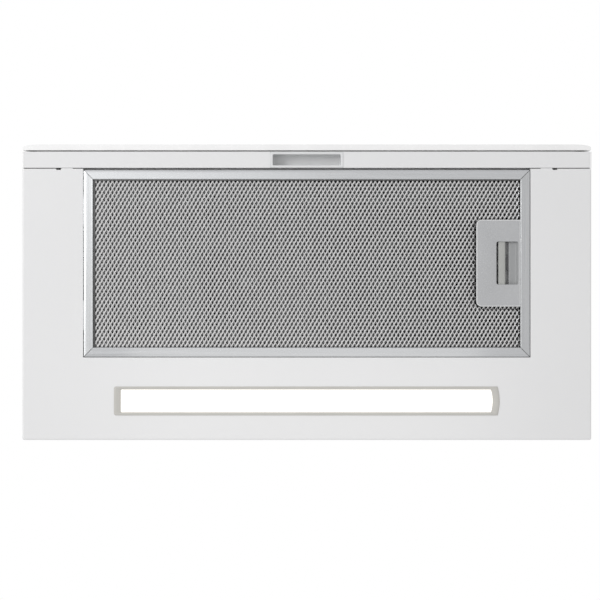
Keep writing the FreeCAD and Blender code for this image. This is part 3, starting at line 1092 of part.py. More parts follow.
def make_latch():
    """Plate and cup with a finger recess, the sliding bolt and its spring."""
    plate = span("latch_plate_block", (f"{LATCH_RIGHT}-latch_wide", LATCH_RIGHT),
                 (f"{LATCH_MID}-latch_deep/2", f"{LATCH_MID}+latch_deep/2"), (LOW, f"{LOW}+latch_face"))
    left = size(f"{LATCH_RIGHT}-latch_wide")
    soft = rounded("latch_plate_soft", plate, "latch_round",
                   lambda edge: runs(edge, "z") and abs(mid(edge).x - left) < 1e-6)
    cup = span("latch_cup_block", (CUP_LEFT, CUP_RIGHT), (CUP_FRONT, CUP_BACK), (LOW, f"{LOW}+{CUP_HIGH}"))
    room = span("latch_cup_room", (f"{CUP_LEFT}+cup_wall", f"{CUP_RIGHT}-cup_wall"),
                (f"{CUP_FRONT}+cup_wall", f"{CUP_BACK}-cup_wall"),
                (f"{LOW}+latch_face", f"{LOW}+{CUP_HIGH}-cup_wall"))
    recess = span("latch_recess", (FINGER_LEFT, FINGER_RIGHT), (FINGER_FRONT, FINGER_BACK),
                  (f"{LOW}-1", f"{LOW}+latch_face+0.5"))
    recess_soft = rounded("latch_recess_soft", recess, "2", lambda edge: runs(edge, "z"))
    exit_slot = span("latch_exit", (f"{CUP_RIGHT}-cup_wall-1", f"{CUP_RIGHT}+1"),
                     (f"{LATCH_MID}-bolt_wide/2-bolt_play", f"{LATCH_MID}+bolt_wide/2+bolt_play"),
                     (f"{BOLT_LOW}-bolt_play", f"{BOLT_LOW}+bolt_thick+bolt_play"))
    shell = cut("latch_shell", fuse("latch_solid", [soft, cup]), [room, recess_soft, exit_slot])
    foot = size(f"{FINGER_RIGHT}+0.2")
    head = size(f"{FINGER_LEFT}+ramp_set")
    low = size(f"{LOW}+latch_face-0.1")
    high = size(f"{BOLT_LOW}-0.3")
    front = size(f"{FINGER_FRONT}-ramp_past")
    back = size(f"{FINGER_BACK}+ramp_past")
    thick = size("ramp_thick")
    rise = size("ramp_rise")
    heel = foot - size("ramp_wall")
    slope = Part.makePolygon([V(foot, front, low), V(foot, front, low + 2 * thick),
                              V(heel + thick, front, high - rise), V(head, front, high),
                              V(head, front, high - thick), V(heel, front, high - rise - thick),
                              V(foot, front, low)])
    ramp = feature("latch_ramp", Part.Face(slope).extrude(V(0, back - front, 0)))
    walls = ((f"{FINGER_FRONT}-ramp_past-ramp_end", f"{FINGER_FRONT}-ramp_past"),
             (f"{FINGER_BACK}+ramp_past", f"{FINGER_BACK}+ramp_past+ramp_end"))
    ends = [span(f"latch_ramp_end_{number}", (f"{FINGER_LEFT}+ramp_set", f"{CUP_RIGHT}-0.5"), limits,
                 (f"{LOW}+latch_face-0.1", f"{LOW}+{CUP_HIGH}-0.5"))
            for number, limits in enumerate(walls)]
    node("latch_plate", fuse("latch_plate", [shell, ramp] + ends))
    bar_left = f"({CUP_LEFT}+cup_wall+spring_short+bolt_travel)"
    bar = span("bolt_bar", (bar_left, f"{bar_left}+bar_wide"),
               (f"{LATCH_MID}-bar_long/2", f"{LATCH_MID}+bar_long/2"),
               (f"{LOW}+latch_face+bar_gap", f"{BOLT_LOW}+bolt_thick"))
    bar_soft = rounded("bolt_bar_soft", bar, "0.8",
                       lambda edge: runs(edge, "y") and mid(edge).z < size(f"{LOW}+latch_face+0.5"))
    blade = span("bolt_blade", (bar_left, BOLT_TIP),
                 (f"{LATCH_MID}-bolt_wide/2", f"{LATCH_MID}+bolt_wide/2"),
                 (BOLT_LOW, f"{BOLT_LOW}+bolt_thick"))
    node("latch_bolt", fuse("latch_bolt", [bar_soft, blade]))
    wire = size("spring_wire")
    radius = size("spring")
    start = size(f"{CUP_LEFT}+cup_wall") + wire + size("spring_gap")
    stop = size(bar_left) - wire - size("spring_gap")
    turns = 6
    helix = Part.makeHelix((stop - start) / turns, stop - start, radius)
    profile = Part.Wire(Part.makeCircle(wire, V(radius, 0, 0), V(0, 1, 0)))
    coil = Part.Wire(helix.Edges).makePipeShell([profile], True, True)
    along_x = FreeCAD.Placement(V(start, size(LATCH_MID), size(f"{BOLT_LOW}+bolt_thick/2")),
                                TURNS["x"])
    node("latch_spring", feature("latch_spring", coil, along_x))


def checked():
    """Stops where any object failed or any sub-part has no sound shape."""
    doc.recompute()
    for item in doc.Objects:
        if "Invalid" in item.State or "Error" in item.State:
            raise RuntimeError(f"{item.Name} did not recompute: {item.State}")
    for name, item in nodes.items():
        if item.Shape.isNull() or not item.Shape.isValid() or not item.Shape.Solids:
            raise RuntimeError(f"{name} has no sound shape")


def write_parts():
    os.makedirs("parts", exist_ok=True)
    for name, item in nodes.items():
        item.Shape.exportStep(os.path.join("parts", name + ".step"))


make_canopy()
make_top_plate()
make_rivets()
make_clip_nuts()
make_blower_box()
make_lid_screws()
make_collar()
make_flap("damper_flap_front", -1)
make_flap("damper_flap_back", 1)
make_scroll()
make_impeller()
make_motor()
make_electrics()
make_lamp()
make_runners()
make_front_profile()
make_fascia()
make_buttons()
make_visor()
make_filter()
make_latch()
checked()
write_parts()
print(len(nodes), "nodes")
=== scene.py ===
import json
import math

import bmesh
import bpy
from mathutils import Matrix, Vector


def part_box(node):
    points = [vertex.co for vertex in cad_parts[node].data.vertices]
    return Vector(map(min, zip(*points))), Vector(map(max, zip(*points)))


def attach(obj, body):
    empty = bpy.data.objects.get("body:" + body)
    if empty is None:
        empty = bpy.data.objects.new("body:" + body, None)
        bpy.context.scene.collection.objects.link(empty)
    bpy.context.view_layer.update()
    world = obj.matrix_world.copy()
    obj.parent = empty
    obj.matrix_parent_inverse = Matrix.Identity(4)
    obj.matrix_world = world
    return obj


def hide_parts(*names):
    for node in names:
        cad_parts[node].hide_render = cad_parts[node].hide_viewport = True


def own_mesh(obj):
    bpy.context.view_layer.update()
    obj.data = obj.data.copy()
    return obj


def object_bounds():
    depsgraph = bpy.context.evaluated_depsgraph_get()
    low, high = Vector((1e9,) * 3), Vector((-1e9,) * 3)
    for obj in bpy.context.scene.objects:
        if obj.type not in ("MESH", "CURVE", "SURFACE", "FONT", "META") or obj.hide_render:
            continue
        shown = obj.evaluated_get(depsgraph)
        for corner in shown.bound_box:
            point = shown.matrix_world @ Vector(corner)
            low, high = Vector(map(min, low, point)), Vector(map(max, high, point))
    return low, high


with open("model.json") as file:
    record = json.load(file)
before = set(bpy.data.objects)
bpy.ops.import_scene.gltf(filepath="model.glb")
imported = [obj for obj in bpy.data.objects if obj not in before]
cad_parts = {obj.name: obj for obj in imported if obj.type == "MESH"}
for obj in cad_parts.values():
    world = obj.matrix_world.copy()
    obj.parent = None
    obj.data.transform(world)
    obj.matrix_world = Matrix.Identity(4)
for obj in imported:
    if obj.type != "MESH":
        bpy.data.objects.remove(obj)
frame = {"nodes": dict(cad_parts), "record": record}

# The looks of a slim telescopic under cabinet hood. Metres, in the CAD model's frame:
# +X right, -Y towards the user, +Z up, origin on the cabinet's underside.

cad_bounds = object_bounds()
NODES = frame["nodes"]
MM = 0.001


# ---------------------------------------------------------------- meshes

def piece(name, verts, faces, body, slot, material=None, replaces=(), sharp_deg=30):
    """A mesh piece that rides on a CAD body."""
    bm = bmesh.new()
    made = [bm.verts.new(v) for v in verts]
    for face in faces:
        bm.faces.new([made[i] for i in face])
    return from_bmesh(name, bm, body, slot, material, replaces, sharp_deg)


def from_bmesh(name, bm, body, slot, material=None, replaces=(), sharp_deg=30):
    """Turns a bmesh into a piece, smooth but for edges sharper than sharp_deg.

    It wears the material of its slot, unless it is given another."""
    bmesh.ops.recalc_face_normals(bm, faces=bm.faces)
    limit = math.radians(sharp_deg)
    for face in bm.faces:
        face.smooth = True
    for edge in bm.edges:
        edge.smooth = len(edge.link_faces) != 2 or edge.calc_face_angle(0) < limit
    mesh = bpy.data.meshes.new(name)
    bm.to_mesh(mesh)
    bm.free()
    mesh.materials.append(material or MATERIALS[slot])
    thing = bpy.data.objects.new(name, mesh)
    bpy.context.scene.collection.objects.link(thing)
    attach(thing, body)
    if replaces:
        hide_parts(*replaces)
    return thing


def arc(centre, radius, start_deg, stop_deg, steps):
    """Points along an arc in the plane, both ends included."""
    cx, cy = centre
    turns = [math.radians(start_deg + (stop_deg - start_deg) * i / steps) for i in range(steps + 1)]
    return [(cx + radius * math.cos(a), cy + radius * math.sin(a)) for a in turns]


def round_rect(low, high, radii, inset=0.0):
    """A rounded rectangle's points, from the lower left corner round by the right, moved in by inset."""
    steps, least = 6, 0.02 * MM
    x0, y0, x1, y1 = low[0] + inset, low[1] + inset, high[0] - inset, high[1] - inset
    corners = ((x0, y0, 1, 1, 180), (x1, y0, -1, 1, 270), (x1, y1, -1, -1, 0), (x0, y1, 1, -1, 90))
    points = []
    for (x, y, sx, sy, start), radius in zip(corners, radii):
        r = max(radius - inset, least)
        points += arc((x + sx * r, y + sy * r), r, start, start + 90, steps)
    return points


def ring_faces(count, levels, closed=False):
    """Quads between rings of count points; when closed, the last ring is joined to the first."""
    faces = []
    for level in range(levels if closed else levels - 1):
        a, b = level * count, (level + 1) % levels * count
        faces += [(a + i, a + (i + 1) % count, b + (i + 1) % count, b + i) for i in range(count)]
    return faces


def loft(name, loops, body, slot, material=None, replaces=(), capped=True, sharp_deg=30):
    """Quads between loops of (points, height); the ends are capped, or joined to each other."""
    count, total = len(loops[0][0]), len(loops)
    verts = [(x, y, z) for points, z in loops for x, y in points]
    faces = ring_faces(count, total, closed=not capped)
    if capped:
        faces += [list(range(count)), [(total - 1) * count + i for i in range(count)]]
    piece(name, verts, faces, body, slot, material, replaces, sharp_deg)


def bar(name, verts, body, slot, material=None, replaces=()):
    """A bar from pairs of points: each point of its section at one end and at the other."""
    count = len(verts) // 2
    faces = [(2 * i, 2 * i + 1, 2 * ((i + 1) % count) + 1, 2 * ((i + 1) % count)) for i in range(count)]
    faces += [[2 * i for i in range(count)], [2 * i + 1 for i in range(count)]]
    piece(name, verts, faces, body, slot, material, replaces, sharp_deg=35)


def bar_along_y(name, section, start, stop, body, slot, material=None, replaces=()):
    """A bar along Y with that section of (x, z) points."""
    bar(name, [(x, y, z) for x, z in section for y in (start, stop)], body, slot, material, replaces)


def prism(name, outline, low, high, body, slot, material=None, bevel=0.0):
    """A plate of that outline between two heights, its edges rounded by bevel."""
    bm = bmesh.new()
    bottom = [bm.verts.new((x, y, low)) for x, y in outline]
    top = [bm.verts.new((x, y, high)) for x, y in outline]
    count = len(outline)
    bm.faces.new(bottom)
    bm.faces.new(top)
    for i in range(count):
        bm.faces.new((bottom[i], bottom[(i + 1) % count], top[(i + 1) % count], top[i]))
    bmesh.ops.recalc_face_normals(bm, faces=bm.faces)
    if bevel:
        level = 1e-9
        rims = [e for e in bm.edges if abs(e.verts[0].co.z - e.verts[1].co.z) < level]
        bmesh.ops.bevel(bm, geom=rims, offset=bevel, segments=2, affect="EDGES", profile=0.5)
    from_bmesh(name, bm, body, slot, material)


# ---------------------------------------------------------------- materials

class Shader:
    """One procedural material, built up from a Principled shader."""

    def __init__(self, name, base, rough, metal=0.0):
        self.material = bpy.data.materials.new(name)
        self.material.use_nodes = True
        self.tree = self.material.node_tree
        self.bsdf = self.tree.nodes["Principled BSDF"]
        self.set("Base Color", (*base, 1))
        self.set("Roughness", rough)
        self.set("Metallic", metal)
        self.coords = self.tree.nodes.new("ShaderNodeTexCoord")
        self.last_bump = None

    def set(self, socket, value):
        self.bsdf.inputs[socket].default_value = value

    def link(self, source, target):
        self.tree.links.new(source, target)

    def mapped(self, scale):
        """Object coordinates, stretched by scale on each axis."""
        node = self.tree.nodes.new("ShaderNodeMapping")
        node.inputs["Scale"].default_value = scale
        self.link(self.coords.outputs["Object"], node.inputs["Vector"])
        return node.outputs["Vector"]

    def noise(self, scale, detail, stretch=(1, 1, 1)):
        node = self.tree.nodes.new("ShaderNodeTexNoise")
        node.inputs["Scale"].default_value = scale
        node.inputs["Detail"].default_value = detail
        self.link(self.mapped(stretch), node.inputs["Vector"])
        return node.outputs["Fac"]

    def cells(self, scale, output="Color"):
        node = self.tree.nodes.new("ShaderNodeTexVoronoi")
        node.inputs["Scale"].default_value = scale
        self.link(self.mapped((1, 1, 1)), node.inputs["Vector"])
        return node.outputs[output]

    def colour(self, source, dark, light, start=0.3, stop=0.7):
        """Base colour from dark to light, as the texture goes from start to stop."""
        node = self.tree.nodes.new("ShaderNodeValToRGB")
        for element, place, tone in zip(node.color_ramp.elements, (start, stop), (dark, light)):
            element.position = place
            element.color = (*tone, 1)
        self.link(source, node.inputs["Fac"])
        self.link(node.outputs["Color"], self.bsdf.inputs["Base Color"])

    def roughness(self, source, low, high, start=0.3, stop=0.7):
        """Roughness from low to high, as the texture goes from start to stop."""
        node = self.tree.nodes.new("ShaderNodeMapRange")
        node.inputs["From Min"].default_value = start
        node.inputs["From Max"].default_value = stop
        node.inputs["To Min"].default_value = low
        node.inputs["To Max"].default_value = high
        self.link(source, node.inputs["Value"])
        self.link(node.outputs["Result"], self.bsdf.inputs["Roughness"])

    def bump(self, source, strength, distance):
        node = self.tree.nodes.new("ShaderNodeBump")
        node.inputs["Strength"].default_value = strength
        node.inputs["Distance"].default_value = distance
        self.link(source, node.inputs["Height"])
        if self.last_bump:
            self.link(self.last_bump, node.inputs["Normal"])
        self.last_bump = node.outputs["Normal"]
        self.link(self.last_bump, self.bsdf.inputs["Normal"])


def shade(tint, share):
    """The same colour at a share of its brightness."""
    return tuple(c * share for c in tint)


def paint(name, tint):
    """Powder-coated white: a faint orange peel and hardly any mottle."""
    s = Shader(name, tint, rough=0.4)
    s.colour(s.noise(6, detail=2), shade(tint, 0.985), tint)
    s.roughness(s.noise(60, detail=3), 0.34, 0.44)
    s.bump(s.noise(900, detail=2), strength=0.05, distance=0.2 * MM)
    return s.material


def moulded(name, tint, rough, grain=1600, depth=0.08):
    """Moulded plastic with a fine spark-eroded grain."""
    s = Shader(name, tint, rough)
    s.colour(s.noise(25, detail=3), shade(tint, 0.95), tint)
    s.roughness(s.noise(220, detail=2), rough - 0.05, rough + 0.07)
    s.bump(s.noise(grain, detail=2), strength=depth, distance=0.15 * MM)
    return s.material


def galvanised(name):
    """Zinc spangle: flat crystals of slightly different grey, with a rolled grain over them."""
    spangle = 120
    s = Shader(name, (0.6, 0.62, 0.64), rough=0.45, metal=1.0)
    s.colour(s.cells(spangle), (0.52, 0.535, 0.55), (0.64, 0.655, 0.67), start=0.0, stop=1.0)
    s.roughness(s.cells(spangle, "Distance"), 0.36, 0.52, start=0.0, stop=0.8)
    s.bump(s.noise(180, detail=4, stretch=(1, 12, 1)), strength=0.04, distance=0.3 * MM)
    return s.material


def plated(name):
    """Bright plated steel with fine turning marks."""
    tint, rough = (0.66, 0.66, 0.67), 0.28
    s = Shader(name, tint, rough, metal=1.0)
    s.colour(s.noise(140, detail=3), shade(tint, 0.86), tint)
    s.roughness(s.noise(600, detail=3), rough - 0.06, rough + 0.12)
    s.bump(s.noise(1500, detail=2, stretch=(1, 1, 6)), strength=0.05, distance=0.1 * MM)
    return s.material


def varnished(name):
    """Laminations under dark impregnating varnish."""
    s = Shader(name, (0.05, 0.05, 0.055), rough=0.4, metal=0.6)
    s.colour(s.noise(30, detail=4), (0.03, 0.03, 0.035), (0.09, 0.09, 0.1))
    s.roughness(s.noise(200, detail=3), 0.3, 0.55)
    s.bump(s.noise(700, detail=2, stretch=(4, 0.2, 0.2)), strength=0.3, distance=0.3 * MM)
    return s.material


def brushed(name, stretch, tint=(0.80, 0.81, 0.83)):
    """Rolled aluminium with its grain along one axis."""
    rough, play = 0.3, 0.06
    s = Shader(name, tint, rough, metal=1.0)
    grain = s.noise(260, detail=4, stretch=stretch)
    s.colour(grain, shade(tint, 0.93), tint)
    s.roughness(grain, rough - play, rough + play)
    s.bump(grain, strength=0.05, distance=0.1 * MM)
    return s.material


def expanded_metal(name, tint):
    """Sheared aluminium strands: bright tops and slightly scuffed cut faces."""
    s = Shader(name, tint, rough=0.3, metal=1.0)
    s.colour(s.noise(420, detail=4), shade(tint, 0.8), tint)
    s.roughness(s.noise(900, detail=3), 0.22, 0.4)
    s.bump(s.noise(2400, detail=2), strength=0.10, distance=0.1 * MM)
    return s.material


def lacquered_board(name):
    """Green solder mask with copper tracks just under it."""
    s = Shader(name, (0.03, 0.2, 0.08), rough=0.3)
    s.colour(s.cells(420, "Distance"), (0.02, 0.13, 0.05), (0.05, 0.27, 0.11), start=0.2, stop=0.6)
    s.roughness(s.noise(300, detail=2), 0.22, 0.36)
    s.bump(s.noise(500, detail=2), strength=0.1, distance=0.1 * MM)
    return s.material


def clear_glass(name):
    """Tempered pane with a faint green body colour."""
    s = Shader(name, (0.90, 0.96, 0.94), rough=0.03)
    s.set("Transmission Weight", 1.0)
    s.set("IOR", 1.5)
    s.colour(s.noise(4, detail=1), (0.87, 0.94, 0.92), (0.92, 0.97, 0.95))
    s.roughness(s.noise(90, detail=2), 0.01, 0.05)
    s.bump(s.noise(12, detail=1), strength=0.01, distance=0.5 * MM)
    return s.material


def lit_diffuser(name, glow, strength):
    """Opal acrylic, lit evenly from behind."""
    s = Shader(name, (0.95, 0.94, 0.92), rough=0.45)
    s.colour(s.noise(40, detail=2), (0.93, 0.92, 0.90), (0.96, 0.95, 0.93))
    s.bump(s.noise(800, detail=2), strength=0.03, distance=0.1 * MM)
    s.set("Emission Color", (*glow, 1))
    s.set("Emission Strength", strength)
    return s.material


POLISHED = {"grain": 2200, "depth": 0.04}
MATERIALS = {
    "white_paint": paint("white_paint", (0.715, 0.715, 0.72)),
    "zinc": galvanised("zinc"),
    "steel": plated("steel"),
    "dark_steel": varnished("dark_steel"),
    "filter_aluminium": brushed("filter_aluminium", (0.1, 3, 3)),
    "latch_grey": moulded("latch_grey", (0.425, 0.43, 0.44), 0.26, **POLISHED),
    "grip_grey": moulded("grip_grey", (0.68, 0.685, 0.69), 0.35, **POLISHED),
    "white_plastic": moulded("white_plastic", (0.82, 0.82, 0.82), 0.3, **POLISHED),
    "black_plastic": moulded("black_plastic", (0.035, 0.035, 0.038), 0.45),
    "grey_plastic": moulded("grey_plastic", (0.20, 0.205, 0.215), 0.5),
    "bezel_grey": moulded("bezel_grey", (0.48, 0.47, 0.443), 0.4, **POLISHED),
    "lamp_diffuser": lit_diffuser("lamp_diffuser", (1.0, 0.985, 0.955), 1.6),
    "board_green": lacquered_board("board_green"),
    "diode_yellow": moulded("diode_yellow", (0.85, 0.72, 0.2), 0.3),
    "visor_glass": clear_glass("visor_glass"),
}
frame_along_x = brushed("filter_aluminium_x", (0.05, 4, 4), (0.63, 0.64, 0.655))
# The copy whose grain runs along y, for the left and right rails, is a shade darker than the copy along x:
# painted shade.
frame_along_y_shaded = brushed("filter_aluminium_y_shaded", (4, 0.05, 4), (0.60, 0.61, 0.62))
latch_bar = moulded("latch_bar", (0.385, 0.39, 0.375), 0.4)
# Darker grey for the sloped floor of the latch recess: painted shade deep in the recess.
latch_floor_shade = moulded("latch_floor_shade", (0.30, 0.305, 0.31), 0.35, **POLISHED)
latch_dark = moulded("latch_dark", (0.10, 0.10, 0.105), 0.5)
# A lighter copy of the latch grey for the plate's soft edge: painted highlight.
latch_rim_highlight = moulded("latch_rim_highlight", (0.66, 0.665, 0.67), 0.22, grain=2200, depth=0.03)
# The fascia's white, lighter than the panel: partly its own glossier plastic, partly painted light for its
# brighter rounded front.
gloss_white_and_painted_light = moulded("gloss_white_and_painted_light", (0.84, 0.84, 0.84), 0.22, grain=2400, depth=0.03)
lens_rim = lit_diffuser("lens_rim", (0.92, 0.88, 0.80), 0.75)
button_grey = moulded("button_grey", (0.50, 0.505, 0.51), 0.3, **POLISHED)
mesh_metal = expanded_metal("filter_mesh", (0.87, 0.865, 0.865))
# The same aluminium as the face mesh, much darker: painted shade on the layers that lie behind the face.
mesh_metal_shade = expanded_metal("filter_mesh_back", (0.33, 0.33, 0.335))
# Near-black strips behind the filter frame's lip: a painted shadow of the lip on the recessed mesh.
lip_shadow_metal = expanded_metal("filter_lip_shadow", (0.13, 0.13, 0.13))


def dress(node_name, material):
    """Gives a CAD node its only material."""
    worn = NODES[node_name].data.materials
    worn.clear()
    worn.append(material)


for part in frame["record"]["subparts"]:
    dress(part["node"], MATERIALS[part["material_slot"]])
# The fascia wears the lighter white: its own glossier plastic, and partly painted light.
dress("front_fascia", gloss_white_and_painted_light)
for node_name in NODES:
    if node_name.startswith("button_") and node_name != "button_switches":
        dress(node_name, button_grey)


# ---------------------------------------------------------------- grease filter

frame_low, frame_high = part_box("filter_frame")
plate_low, plate_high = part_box("latch_plate")
plate_mid = (plate_low.y + plate_high.y) / 2
# The frame's box reaches past its left rail to the tips of the tongues, but the filter is centred.
filter_left, filter_right = -frame_high.x, frame_high.x
filter_front, filter_back = frame_low.y, frame_high.y
filter_under = frame_low.z

FOIL = 0.8 * MM
FACE = 9.9 * MM
RAIL_TALL = 8.99 * MM
LIP_TOP = 1.9 * MM
MITRE_GAP = 0.36 * MM
# The mesh stops at the latch, right of x and between the two ys.
CLEAR_X = plate_low.x + 2.6 * MM
CLEAR_Y = (plate_low.y + 0.5 * MM, plate_high.y - 0.5 * MM)


def rail_profile():
    """Section of the filter frame: (distance in from the outside, height above the underside)."""
    bend, lip = 0.5 * MM, 0.8 * MM
    outside = [(0, RAIL_TALL), (0, 1.3 * MM)]
    outside += arc((bend, 0.95 * MM), bend, 180, 258, 5)
    outside += [(4.0 * MM, 0.30 * MM), (8.5 * MM, 0.10 * MM)]
    outside += arc((FACE - lip, lip), lip, 250, 360, 8)
    outside += [(FACE, LIP_TOP)]
    inside = [(FACE - FOIL, LIP_TOP), (FACE - FOIL, 1.1 * MM), (8.4 * MM, 0.95 * MM),
              (1.3 * MM, 1.5 * MM), (FOIL, LIP_TOP), (FOIL, RAIL_TALL - FOIL)]
    top = [(FACE, RAIL_TALL - FOIL), (FACE, RAIL_TALL)]
    return outside + inside + top


def frame_rail(side, material, replaces=()):
    """One mitred rail of the frame, its ends cut at 45 degrees with a hair of space between."""
    verts = []
    for inward, up in rail_profile():
        z = filter_under + up
        back = inward + MITRE_GAP
        if side in ("left", "right"):
            x = filter_left + inward if side == "left" else filter_right - inward
            verts += [(x, filter_front + back, z), (x, filter_back - back, z)]
        else:
            y = filter_front + inward if side == "front" else filter_back - inward
            verts += [(filter_left + back, y, z), (filter_right - back, y, z)]
    bar(f"filter_rail_{side}", verts, "filter", "filter_aluminium", material, replaces)


def frame_lip_shadows():
    """Painted shadow: dark strips just behind the frame's lip along the left and front rails, where the lip
    shades the recessed mesh.
    """
    low = filter_under + LIP_TOP + 0.05 * MM
    thick, left_wide, front_wide = 0.4 * MM, 2.3 * MM, 1.2 * MM
    left = (filter_left + FACE - FOIL, filter_left + FACE + left_wide)
    front = (filter_front + FACE - FOIL, filter_front + FACE + front_wide)
    far_x, far_y = filter_right - FACE, filter_back - FACE
    upright = [(left[0], front[1]), (left[1], front[1]), (left[1], far_y), (left[0], far_y)]
    across = [(left[0], front[0]), (far_x, front[0]), (far_x, front[1]), (left[0], front[1])]
    for side, outline in (("left", upright), ("front", across)):
        prism(f"filter_lip_shadow_{side}", outline, low, low + thick, "filter", "filter_aluminium",
              lip_shadow_metal, bevel=0.1 * MM)


def tongues():
    """The two hinge tongues at the filter's left edge, with rounded tips."""
    half, corner, thick, apart = 15 * MM, 4 * MM, 1.0 * MM, 55 * MM
    low = filter_under + 1.2 * MM
    tip, root = frame_low.x, filter_left + 0.4 * MM
    for number, mid in enumerate((plate_mid - apart, plate_mid + apart)):
        outline = [(root, mid - half)]
        outline += arc((tip + corner, mid - half + corner), corner, 270, 180, 6)
        outline += arc((tip + corner, mid + half - corner), corner, 180, 90, 6)
        outline += [(root, mid + half)]
        prism(f"filter_tongue_{number}", outline, low, low + thick, "filter", "filter_aluminium",
              bevel=0.2 * MM)


def expanded_sheet(name, node, material, lean, drop, phase):
    """Expanded metal: staggered openings whose strands are all tilted the same way.

    Each cell is the diamond between four bonds. Its opening is a leaning six-sided hole, whose rim
    is high on one side and low on the other, so that strands catch the light like louvres."""
    pitch, row, tuck = 4.39 * MM, 3.85 * MM, 8 * MM
    half_hole_x, half_hole_y = 1.36 * MM, 2.55 * MM
    bond_thick, strand_thick = 0.42 * MM, 0.5 * MM
    tilt_along, tilt_across = 0.35, 0.8
    ring = ((-0.28, 0.96), (0.34, 0.96), (1.0, 0.1), (0.28, -0.96), (-0.34, -0.96), (-1.0, -0.1))
    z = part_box(node)[0].z
    x_low, x_high = filter_left + tuck, filter_right - tuck
    y_low, y_high = filter_front + tuck, filter_back - tuck
    columns = int((x_high - x_low) / pitch) + 1
    rows = int((y_high - y_low) / row) + 1
    bm = bmesh.new()
    shared = {}

    def bond(x, y, side):
        """The corner that neighbouring cells share, found by its place in quarters of a cell."""
        key = (round(x / pitch * 4), round(y / row * 4), side)
        if key not in shared:
            shared[key] = bm.verts.new((x, y, z + (bond_thick if side else 0)))
        return shared[key]

    for j in range(rows):
        y = y_low + j * row + phase
        for i in range(columns):
            x = x_low + (i + 0.5 * (j % 2)) * pitch
            if x > x_high or (x > CLEAR_X and CLEAR_Y[0] < y < CLEAR_Y[1]):
                continue
            corners = ((x, y + row), (x + pitch / 2, y), (x, y - row), (x - pitch / 2, y))
            holes = [(x + u * half_hole_x + lean * v * half_hole_y, y + v * half_hole_y,
                      z + drop * (tilt_along * v - tilt_across * u)) for u, v in ring]
            rims = []
            for side, rise in ((0, 0.0), (1, strand_thick)):
                top, right, bottom, left = [bond(cx, cy, side) for cx, cy in corners]
                rim = [bm.verts.new((hx, hy, hz + rise)) for hx, hy, hz in holes]
                bm.faces.new((top, rim[0], rim[1]))
                bm.faces.new((top, rim[1], rim[2], right))
                bm.faces.new((right, rim[2], rim[3], bottom))
                bm.faces.new((bottom, rim[3], rim[4]))
                bm.faces.new((bottom, rim[4], rim[5], left))
                bm.faces.new((left, rim[5], rim[0], top))
                rims.append(rim)
            under, over = rims
            for k in range(len(ring)):
                following = (k + 1) % len(ring)
                bm.faces.new((under[k], under[following], over[following], over[k]))
    close_rim(bm)
    from_bmesh(name, bm, "filter", "filter_aluminium", material, replaces=(node,), sharp_deg=50)


def close_rim(bm):
    """Joins the two faces of a sheet along its outer edge, bond above bond."""
    per_micron = 1e6

    def place(vert):
        return round(vert.co.x * per_micron), round(vert.co.y * per_micron)

    above = {}
    for vert in bm.verts:
        above.setdefault(place(vert), []).append(vert)
    for edge in [e for e in bm.edges if len(e.link_faces) == 1]:
        pairs = [sorted(above[place(vert)], key=lambda v: v.co.z) for vert in edge.verts]
        if any(len(pair) != 2 for pair in pairs):
            continue
        corners = (pairs[0][0], pairs[1][0], pairs[1][1], pairs[0][1])
        if bm.edges.get((corners[0], corners[1])) and not bm.faces.get(corners):
            bm.faces.new(corners)


frame_rail("left", frame_along_y_shaded, ("filter_frame",))
frame_rail("right", frame_along_y_shaded)
frame_rail("front", frame_along_x)
frame_rail("back", frame_along_x)
frame_lip_shadows()
tongues()
expanded_sheet("expanded_mesh_face", "filter_mesh_face", mesh_metal,
               lean=-0.24, drop=0.5 * MM, phase=0.0)
# The middle and back layers wear the darker copy, painted shade behind the face layer.
expanded_sheet("expanded_mesh_middle", "filter_mesh_pack", mesh_metal_shade,
               lean=0.2, drop=0.4 * MM, phase=1.7 * MM)
expanded_sheet("expanded_mesh_back", "filter_mesh_back", mesh_metal_shade,
               lean=-0.2, drop=0.4 * MM, phase=0.9 * MM)


# ---------------------------------------------------------------- lamp

bezel_low, bezel_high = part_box("lamp_bezel")
lens_low, lens_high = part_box("lamp_lens")


def bar_outline(low, high, bow, corner):
    """A long bar's outline: square left end with small radii, right end bowed outwards."""
    steps, corner_steps = 10, 5
    x0, y0, x1, y1 = low.x, low.y, high.x, high.y
    middle, half = (y0 + y1) / 2, (y1 - y0) / 2
    points = arc((x0 + corner, y0 + corner), corner, 180, 270, corner_steps)
    for i in range(steps + 1):
        t = -1 + 2 * i / steps
        points.append((x1 - bow * t * t, middle + half * t))
    points += arc((x0 + corner, y1 - corner), corner, 90, 180, corner_steps)
    return points


def ringed_plate(name, outer, inner, levels, slot, material, replaces):
    """A ring lofted between an outer and an inner outline of the same number of points.

    levels are (share of the way from outer to inner, height), in order round the section."""
    loops = []
    for share, z in levels:
        points = [(ox + (ix - ox) * share, oy + (iy - oy) * share)
                  for (ox, oy), (ix, iy) in zip(outer, inner)]
        loops.append((points, z))
    loft(name, loops, "hood", slot, material, replaces, capped=False, sharp_deg=40)


